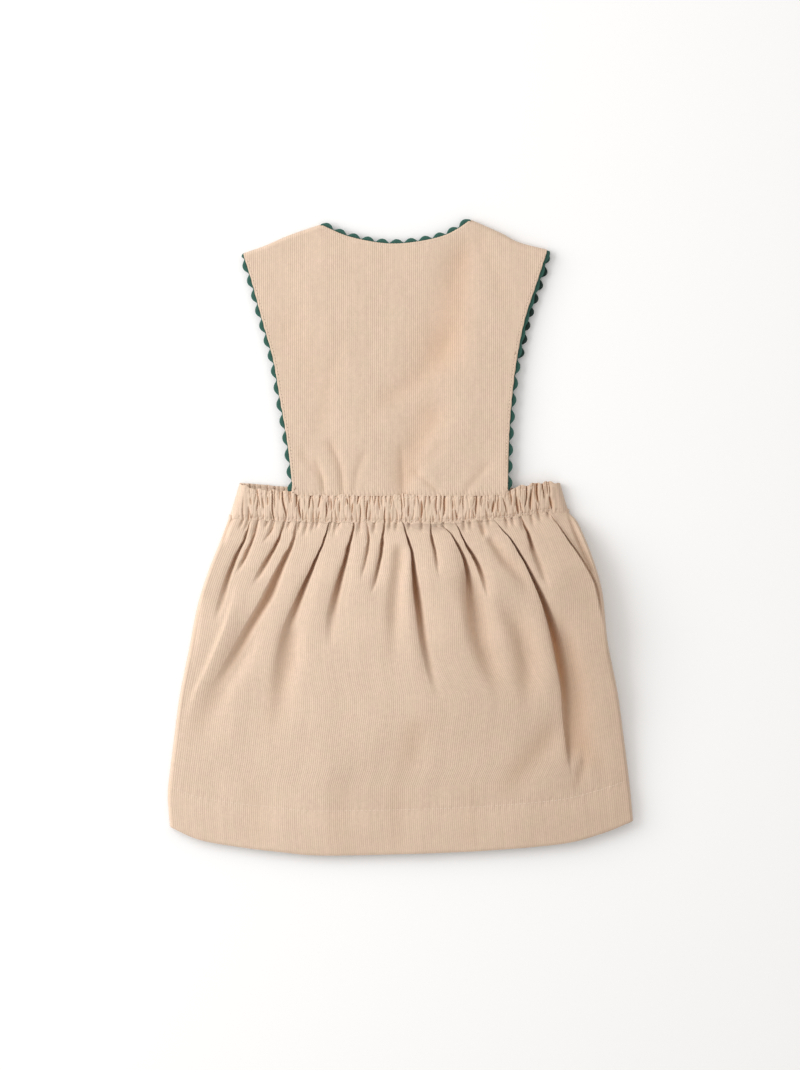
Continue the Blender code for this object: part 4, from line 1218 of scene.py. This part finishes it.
def back_bib_place(across, down):
    """The cloth's middle, with its creases, its sewn edges and its rolled shoulders."""
    flat = BIB.at(across, down)
    x, y = flat[..., 0], flat[..., 1]
    calm = ease(from_sides(across) / 0.22) * ease(down / 0.15) * ease((1 - down) / 0.25)
    swell = sum(row["rise"] * bell(np.hypot((x - row["at"][0]) / row["spread"][0],
                                            (y - row["at"][1]) / row["spread"][1]))
                for row in BIB_SWELLS)
    z = BIB_MIDDLE + BIB_WAIST_RISE * ease(down) + swell * calm
    z = z - crease_depth(BIB_CREASES, x, y)
    z = z + 0.18 * ripple(x, y, 26.0, 1.3) + 0.06 * ripple(x, y, 10.0, 0.4)
    for away, stitch in sewn_edges(LEFT_EDGE, RIGHT_EDGE, Edge(NECK_BACK), x, y):
        z = z + sewn_edge(away, x + y, stitch) - 0.35 * (1 - roll(away, 0.6))
    foot_gap = (1 - down) * LEFT_EDGE.length
    gathers = np.sin(TURN * (x + 0.3 * foot_gap) / 2.7 + 1.3 * np.sin(x / 7))
    z = z + 0.22 * bell(foot_gap / 3.5) * gathers - 0.35 * bell(foot_gap)
    from_top = down * LEFT_EDGE.length
    shoulder = (across <= NECK_SHARE[0]) | (across >= NECK_SHARE[1])
    rolled = SIDE_LOW + (z - SIDE_LOW) * roll(from_top, SHOULDER_TURN)
    z = np.where(shoulder, rolled, z)
    return raised(flat, z)


def level_map(cloth):
    """Cloth that lies flat is measured straight across and along."""
    return cloth.face[..., :2].copy()


def make_back_bib(sizes, finish):
    low, high = NECK_SHARE
    columns = graded((0.026, 14), (low, 54), (high, 110), (0.974, 54), (1.0, 14))
    rows = graded((0.006, 4), (0.03, 9), (0.80, 92), (0.96, 40), (1.0, 12))
    cloth = Cloth(columns, rows, back_bib_place)
    cloth.push_out(CLOTH / 2)
    # Painted shade: the creases are coloured darker, a little to their left, by the hollow layer,
    # and the whole bib a little darker by the nap layer.
    hollow = crease_depth(BIB_CREASES, cloth.face[..., 0] + 1.5, cloth.face[..., 1])
    return cloth.make("back_bib", sizes.cloth, level_map(cloth), finish,
                      hollow=np.clip(BIB_PAINTED_SHADE * hollow, 0.0, 1.0),
                      nap=np.full(hollow.shape, 0.12))


def front_bib_place(across, down):
    """The face it lies on, with the back's creases, the other way round, pressed in."""
    foot = moved(FRONT_BIB_FOOT, y=2 * SEAM_GAP)
    left = [BIB_LEFT[0], *moved(BIB_LEFT[1:-1], x=FRONT_INSET), foot[0]]
    right = [BIB_RIGHT[0], *moved(BIB_RIGHT[1:-1], x=-FRONT_INSET), foot[-1]]
    flat = Sheet(bib_top(NECK_FRONT), Edge(foot), Edge(left), Edge(right)).at(across, down)
    x, y = flat[..., 0], flat[..., 1]
    mirrored = [{**crease, "path": [(-px, py) for px, py in crease["path"]],
                 "left": crease["right"], "right": crease["left"]} for crease in BIB_CREASES]
    z = FLOOR_GAP + np.minimum(0.45 * crease_depth(mirrored, x, y), 0.6)
    for away, stitch in sewn_edges(Edge(left), Edge(right), Edge(NECK_FRONT), x, y):
        z = z + 0.32 * bell((away - stitch) / 0.55) + 0.3 * (1 - roll(away, 0.9))
    return raised(flat, z)


def make_front_bib(sizes, finish):
    low, high = NECK_SHARE
    columns = graded((0.026, 10), (low, 30), (high, 60), (0.974, 30), (1.0, 10))
    rows = graded((0.03, 10), (0.97, 70), (1.0, 4))
    cloth = Cloth(columns, rows, front_bib_place)
    return cloth.make("front_bib", sizes.cloth, level_map(cloth), finish, facing=-1)


# --------------------------------------------------------------- the ric-rac
# beats gives the braid's wave at a few shares of its edge: a bump stands where
# the wave is a whole number and a half.  strip is the share of the edge along
# which the braid is turned up on its side and shows as a straight strip, and
# slips how far it lies outside the back's edge along the top.
BRAIDS = rows_of(("node", "outward", "swing", "tuck", "beats", "strip", "slips"), [
    ("ric_rac_armhole_back_left", -1, 1.32, -0.42,
     ((0.0, 0.66), (0.25, 4.6), (0.5, 8.5), (1.0, 15.65)), 0.0, 0.0),
    ("ric_rac_armhole_back_right", 1, 1.32, -0.42, ((0.0, 0.18), (1.0, 15.06)), 0.42, 0.0),
    ("ric_rac_neck_back", 1, 1.25, -0.5, ((0.0, 0.02), (1.0, 10.98)), 0.0, 0.0),
    ("ric_rac_armhole_front_left", -1, 2.0, 0.2,
     ((0.0, 0.66), (0.25, 4.6), (0.5, 8.5), (0.96, 15.05)), 0.0, 0.0),
    ("ric_rac_armhole_front_right", 1, 2.0, 0.2,
     ((0.0, 0.0), (0.487, 8.5), (0.96, 15.5)), 0.0, 2.3),
    ("ric_rac_neck_front", 1, 2.0, 0.2, ((0.04, 0.5), (0.96, 11.5)), 0.0, 0.0),
])
BRAID_END = 1.2          # its ends are rounded over this distance
STRIP_CALM = 0.60        # share of its wave that a strip has lost
STRIP_OUT = 0.7          # how far it then lies outside the edge
STRIP_LIFT = 0.3
# The front's braid slips out past the back along the top of its right armhole.
SLIP_ENDS = 0.52


def slipped(share):
    """How much of the slip is left at a share of the armhole from the shoulder."""
    return ease(share / 0.06) * fade(share, SLIP_ENDS - 0.12, 0.14)


def fuller(wave):
    """A sine or cosine with its corners filled out."""
    return np.sign(wave) * np.abs(wave) ** 0.8


def make_braid(row, edge, underside, finish):
    """Ric-rac along an edge: a flat woven braid that swings in and out."""
    shares, waves = np.array(row["beats"]).T
    phase = np.linspace(waves[0], waves[-1], int(22 * (waves[-1] - waves[0])) + 1)
    share = np.interp(phase, waves, shares)
    strip = fade(share, row["strip"], 0.05) if row["strip"] else np.zeros(share.shape)
    swing = -np.cos(TURN * phase)
    swing = row["swing"] * swing * (1.12 - 0.12 * swing ** 2) * (1 - STRIP_CALM * strip)
    swing = swing - row["tuck"] * (1 - strip) + STRIP_OUT * strip + row["slips"] * slipped(share)
    middle = edge.at(share) + edge.side(share) * (row["outward"] * swing)[:, None]
    across = to_left(unit(np.gradient(middle, axis=0)))
    travel = travel_along(middle)
    taper = roll(np.minimum(travel, travel[-1] - travel), BRAID_END)
    turn = np.linspace(0, TURN, 13)
    wide, tall = fuller(np.cos(turn)) * BRAID_HALF_WIDTH, fuller(np.sin(turn)) * BRAID / 2
    reach = wide[None, :] * taper[:, None]
    flat = middle[:, None, :] + across[:, None, :] * reach[..., None]
    height = underside(share)[:, None] + BRAID / 2 + tall[None, :] * taper[:, None]
    height = height + STRIP_LIFT * strip[:, None]
    uv = np.stack([np.broadcast_to(wide[None, :], reach.shape),
                   np.broadcast_to(travel[:, None], reach.shape)], axis=-1)
    name = row["node"] + "_braid"
    piece = add_grid(name, raised(flat, height), uv)
    # Painted shade along the stretch of the front braid that slips out past the back.
    hidden = slipped(share) if row["slips"] else 0 * share
    add_layer(piece, "hollow", np.broadcast_to(hidden[:, None], reach.shape))
    bpy.ops.object.mode_set(mode="EDIT")
    bpy.ops.mesh.select_all(action="SELECT")
    bpy.ops.mesh.remove_doubles(threshold=1e-6)
    bpy.ops.mesh.normals_make_consistent(inside=False)
    bpy.ops.object.mode_set(mode="OBJECT")
    finish_piece(piece, finish, 60)
    return piece


def make_braids(finish):
    def back_side(share):
        return BACK_BRAID_LIFT + BIB_WAIST_RISE * ease(share)

    def level(height):
        return lambda share: np.full(np.shape(share), height)

    front = level(FRONT_BRAID_LIFT)
    laid = {"ric_rac_armhole_back_left": (LEFT_EDGE, back_side),
            "ric_rac_armhole_back_right": (RIGHT_EDGE, back_side),
            "ric_rac_neck_back": (Edge(NECK_BACK), level(BACK_BRAID_LIFT)),
            "ric_rac_armhole_front_left": (Edge(moved(BIB_LEFT, x=FRONT_INSET)), front),
            "ric_rac_armhole_front_right": (Edge(moved(BIB_RIGHT, x=-FRONT_INSET)), front),
            "ric_rac_neck_front": (Edge(NECK_FRONT), front)}
    for row in BRAIDS:
        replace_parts(make_braid(row, *laid[row["node"]], finish), row["node"])


# -------------------------------------------------------------- the stitches
def one_stitch(length, width):
    """Points and faces of one stitch, a short bead that lies along +X."""
    bpy.ops.object.select_all(action="DESELECT")
    bpy.ops.mesh.primitive_uv_sphere_add(segments=6, ring_count=5, radius=0.5,
                                         rotation=(0.0, math.pi / 2, 0.0))
    bead = bpy.context.object
    bpy.ops.object.transform_apply(location=False, rotation=True, scale=False)
    points = np.array([v.co for v in bead.data.vertices])
    faces = [list(face.vertices) for face in bead.data.polygons]
    bpy.data.meshes.remove(bead.data)
    return points * (length, width, width), faces


def sew(name, lines, length, gap, width, sunk, finish):
    """Stitches in a row along each line of places, joined in one piece."""
    points, faces = one_stitch(length, width)
    corners, sides, count = [], [], 0
    for line in lines:
        travel = travel_along(line)
        number = int(travel[-1] / (length + gap))
        for k in range(number):
            ends = [(k + 0.5) * travel[-1] / number + s * length / 2 for s in (-1, 1)]
            start, stop = (np.array([np.interp(e, travel, line[:, axis]) for axis in range(3)])
                           for e in ends)
            run = unit(stop - start)
            side = unit(np.cross((0.0, 0.0, 1.0), run))
            turn = np.array([run, side, np.cross(run, side)])
            corners.append((points @ turn + (start + stop) / 2 - (0, 0, sunk) - CENTRE) * MM)
            sides.extend([[i + count for i in face] for face in faces])
            count += len(points)
    mesh = bpy.data.meshes.new(name)
    mesh.from_pydata(np.vstack(corners).tolist(), [], sides)
    piece = bpy.data.objects.new(name, mesh)
    bpy.context.scene.collection.objects.link(piece)
    finish_piece(piece, finish, 80)
    return piece


def inside_line(cloth, side, distance, begin, end):
    """A line on a bib's face, a fixed distance inside its left, right or top edge."""
    t = np.linspace(begin, end, 400)
    if side == "top":
        return cloth.at(t, np.full(t.shape, distance / LEFT_EDGE.length))
    left, right = cloth.at(np.zeros(t.shape), t), cloth.at(np.ones(t.shape), t)
    wide = np.linalg.norm(right - left, axis=1)
    share = distance / wide
    return cloth.at(share if side == "left" else 1 - share, t)


def level_line(cloth, down, begin=0.02, end=0.98, lift=0.0):
    t = np.linspace(begin, end, 1400)
    line = cloth.at(t, np.full(t.shape, down))
    line[:, 2] += lift
    return line


# ---------------------------------------------------- sizes, colours and light
def a_length(name, about, value):
    return FloatProperty(name=name, description=about, default=value, subtype="DISTANCE",
                         unit="LENGTH")


def a_colour(name, about, value):
    return FloatVectorProperty(name=name, description=about, default=value, subtype="COLOR",
                               min=0.0, max=1.0)


class PinaforeSizes(bpy.types.PropertyGroup):
    """Sizes of the cloth and its sewing."""

    cloth: a_length("Cloth", "Thickness of one layer as it is drawn", 0.0010)
    wale: a_length("Wale", "From one rib of the needlecord to the next", 0.00135)
    stitch: a_length("Stitch", "Length of one stitch that shows", 0.0016)
    hem_stitch: a_length("Hem stitch", "Length of a stitch of the hem", 0.0021)
    stitch_gap: a_length("Gap", "Between one stitch and the next", 0.0005)
    thread: a_length("Thread", "Width of the sewing thread", 0.00044)


class PinaforeColours(bpy.types.PropertyGroup):
    """Colours of the cloth, braid, thread and floor."""

    cloth: a_colour("Cloth", "Needlecord's pile", (0.648, 0.503, 0.388))
    # Partly painted shade: the grooves between the ribs take this colour.
    groove: a_colour("Groove", "Needlecord between its ribs", (0.38, 0.255, 0.175))
    # Painted shade: the colour that folds, creases and ticks are painted towards.
    depth: a_colour("Depth", "Tint of the cloth deep in a fold", (0.82, 0.57, 0.37))
    # Painted shade: the colour is multiplied by this where the nap layer marks it.
    nap: a_colour("Nap", "Tint where the pile lies over", (0.84, 0.82, 0.80))
    # Painted light: the glow that folds give off in place of light passed on between their walls.
    painted_fold_glow: a_colour("Glow", "Light that the cloth passes on in a fold", (0.036, 0.019, 0.010))
    rib_contrast: FloatProperty(name="Rib contrast", description="How strongly the ribs show",
                                default=0.44, min=0.0, max=1.0, subtype="FACTOR")
    braid: a_colour("Ric-rac", "Woven braid", (0.028, 0.102, 0.080))
    thread: a_colour("Thread", "Sewing thread", (0.71, 0.59, 0.49))
    # Painted shade: dark stitches that stand in for the shaded needle holes along the armholes.
    armhole_thread: a_colour("Armhole thread", "Thread that holds the ric-rac", (0.20, 0.16, 0.12))
    floor: a_colour("Floor", "Studio floor", (0.85, 0.855, 0.862))


class PinaforeStudio(bpy.types.PropertyGroup):
    """Light and camera."""

    key: FloatProperty(name="Key light", description="Power of the large soft light",
                       default=21.9, min=0.0, unit="POWER")
    fill: FloatProperty(name="Fill", description="Strength of the light from all round",
                        default=0.82, min=0.0)
    camera_height: a_length("Camera height", "Above the floor", 1.96)
    view_height: a_length("View", "Length of floor in the picture", 0.7062)


# ---------------------------------------------------------------- operators
def make_pair(context, make_front, make_back, cut, **sewn):
    """A front piece, and the back piece that lies on it and is cut alike."""
    sizes = context.scene.pinafore_sizes
    finish = made_once("needlecord_cloth", needlecord, context.scene.pinafore_colours, sizes)
    front = make_front(sizes, finish)
    back = make_back(sizes, finish)


class PINAFORE_OT_skirts(bpy.types.Operator):
    """Makes the gathered back skirt and the front skirt that it lies on."""

    bl_idname = "pinafore.skirts"
    bl_label = "Skirts"

    def execute(self, context):
        make_pair(context, make_front_skirt, make_back_skirt, SKIRT_CUT, held="gathered")
        return {"FINISHED"}


class PINAFORE_OT_waistbands(bpy.types.Operator):
    """Makes both halves of the elastic waistband."""

    bl_idname = "pinafore.waistbands"
    bl_label = "Waistbands"

    def execute(self, context):
        make_pair(context, make_front_band, make_back_band, BAND_CUT, held="gathered")
        return {"FINISHED"}


class PINAFORE_OT_bibs(bpy.types.Operator):
    """Makes the back bib and the front bib under it."""

    bl_idname = "pinafore.bibs"
    bl_label = "Bibs"

    def execute(self, context):
        make_pair(context, make_front_bib, make_back_bib, BIB_CUT, held="laid",
                  area=BIB_CUT_AREA)
        return {"FINISHED"}


class PINAFORE_OT_ric_rac(bpy.types.Operator):
    """Makes the ric-rac round the necklines and down the armholes."""

    bl_idname = "pinafore.ric_rac"
    bl_label = "Ric-rac"

    def execute(self, context):
        make_braids(made_once("ric_rac_braid", ric_rac, context.scene.pinafore_colours))
        return {"FINISHED"}


class PINAFORE_OT_stitches(bpy.types.Operator):
    """Sews the topstitching, the waistband's rows and the hems."""

    bl_idname = "pinafore.stitches"
    bl_label = "Stitches"

    def execute(self, context):
        sizes = context.scene.pinafore_sizes
        colours = context.scene.pinafore_colours
        pale = made_once("sewing_thread", thread, "sewing_thread", colours.thread)
        # Painted shade: the armhole stitches are dark in place of shaded needle holes.
        deep = made_once("armhole_thread", thread, "armhole_thread", colours.armhole_thread)
        low, high = NECK_SHARE
        gap, width = sizes.stitch_gap / MM, sizes.thread / MM
        sunk = 0.18 * width
        for layer, facing in (("back", 1), ("front", -1)):
            bib, band = CLOTHS[layer + "_bib"], CLOTHS["waistband_" + layer]
            lift = 0.0 if facing > 0 else -sizes.cloth / MM
            rows = {
                "neck_stitching_": (sizes.stitch, gap, pale, [
                    inside_line(bib, "top", NECK_STITCH, low + 0.012, high - 0.012)]),
                "armhole_stitching_": (0.5 * sizes.stitch, ARMHOLE_GAP, deep, [
                    inside_line(bib, side, EDGE_STITCH, 0.03, 0.985)
                    for side in ("left", "right")]),
                "waistband_stitching_": (sizes.stitch, gap, pale, [
                    level_line(band, row, lift=lift) for row in BAND_STITCH]),
                "hem_stitching_": (sizes.hem_stitch, gap, pale, [
                    level_line(CLOTHS["skirt_" + layer], HEM_SEWN, 0.012, 0.988)]),
            }
            for name, (length, space, finish, lines) in rows.items():
                piece = sew(name + layer, lines, length / MM, space, width, facing * sunk,
                            finish)
        return {"FINISHED"}


# The stage, in metres.
FLOOR_SIZE = 8.0
FLOOR_DROP = 0.0003      # the floor lies this much under the cloth
ROOM_LIGHT = (1.0, 0.975, 0.945, 1.0)
KEY_PLACE = (-1.25, 0.45, 0.80)
KEY_SIZE = (1.4, 1.1)
CAMERA_PLACE = (-0.00041, 0.00148)
SENSOR_HEIGHT = 36.0     # millimetres


class PINAFORE_OT_stage(bpy.types.Operator):
    """Lays the floor and sets the lights and the camera."""

    bl_idname = "pinafore.stage"
    bl_label = "Stage"

    def execute(self, context):
        scene = context.scene
        studio = scene.pinafore_studio
        bpy.ops.object.select_all(action="DESELECT")
        bpy.ops.mesh.primitive_plane_add(size=FLOOR_SIZE, location=(0.0, 0.0, -FLOOR_DROP))
        floor = context.object
        floor.name = "studio_floor"
        floor.data.materials.append(made_once("studio_floor", paper, scene.pinafore_colours))

        world = bpy.data.worlds.new("studio")
        world.use_nodes = True
        background = world.node_tree.nodes["Background"]
        background.inputs["Color"].default_value = ROOM_LIGHT
        background.inputs["Strength"].default_value = studio.fill
        scene.world = world

        bpy.ops.object.light_add(type="AREA", location=KEY_PLACE)
        key = context.object
        key.name = "key"
        key.data.shape = "RECTANGLE"
        key.data.size, key.data.size_y = KEY_SIZE
        key.data.energy = studio.key
        aim(key)

        bpy.ops.object.camera_add(location=(*CAMERA_PLACE, studio.camera_height))
        camera = context.object
        camera.name = "camera"
        camera.data.sensor_fit = "VERTICAL"
        camera.data.sensor_height = SENSOR_HEIGHT
        camera.data.lens = SENSOR_HEIGHT * studio.camera_height / studio.view_height
        camera.data.clip_end = 20.0
        scene.camera = camera
        scene.view_settings.view_transform = "Standard"
        return {"FINISHED"}


def aim(light):
    """Turns a light's -Z axis towards the middle of the part."""
    x, y, z = light.location
    light.rotation_euler = (math.atan2(math.hypot(x, y), z), 0.0,
                            math.atan2(y, x) + math.pi / 2)


class PINAFORE_PT_panel(bpy.types.Panel):
    """Lists the pieces of the pinafore and its sizes and colours."""

    bl_idname = "PINAFORE_PT_panel"
    bl_label = "Pinafore"
    bl_space_type = "VIEW_3D"
    bl_region_type = "UI"
    bl_category = "Pinafore"

    def draw(self, context):
        for group in GROUPS:
            values = getattr(context.scene, group)
            for name in values.__annotations__:
                self.layout.prop(values, name)
        for operator in OPERATORS:
            self.layout.operator(operator.bl_idname)


OPERATORS = (PINAFORE_OT_skirts, PINAFORE_OT_waistbands, PINAFORE_OT_bibs,
             PINAFORE_OT_ric_rac, PINAFORE_OT_stitches, PINAFORE_OT_stage)
GROUPS = {"pinafore_sizes": PinaforeSizes, "pinafore_colours": PinaforeColours,
          "pinafore_studio": PinaforeStudio}
CLASSES = (*GROUPS.values(), *OPERATORS, PINAFORE_PT_panel)


def register():
    for item in CLASSES:
        bpy.utils.register_class(item)
    for name, group in GROUPS.items():
        setattr(bpy.types.Scene, name, PointerProperty(type=group))


def unregister():
    for name in GROUPS:
        delattr(bpy.types.Scene, name)
    for item in reversed(CLASSES):
        bpy.utils.unregister_class(item)


def main():
    register()
    bpy.ops.pinafore.skirts()
    bpy.ops.pinafore.waistbands()
    bpy.ops.pinafore.bibs()
    bpy.ops.pinafore.ric_rac()
    bpy.ops.pinafore.stitches()
    bpy.ops.pinafore.stage()


if __name__ == "__main__":
    main()
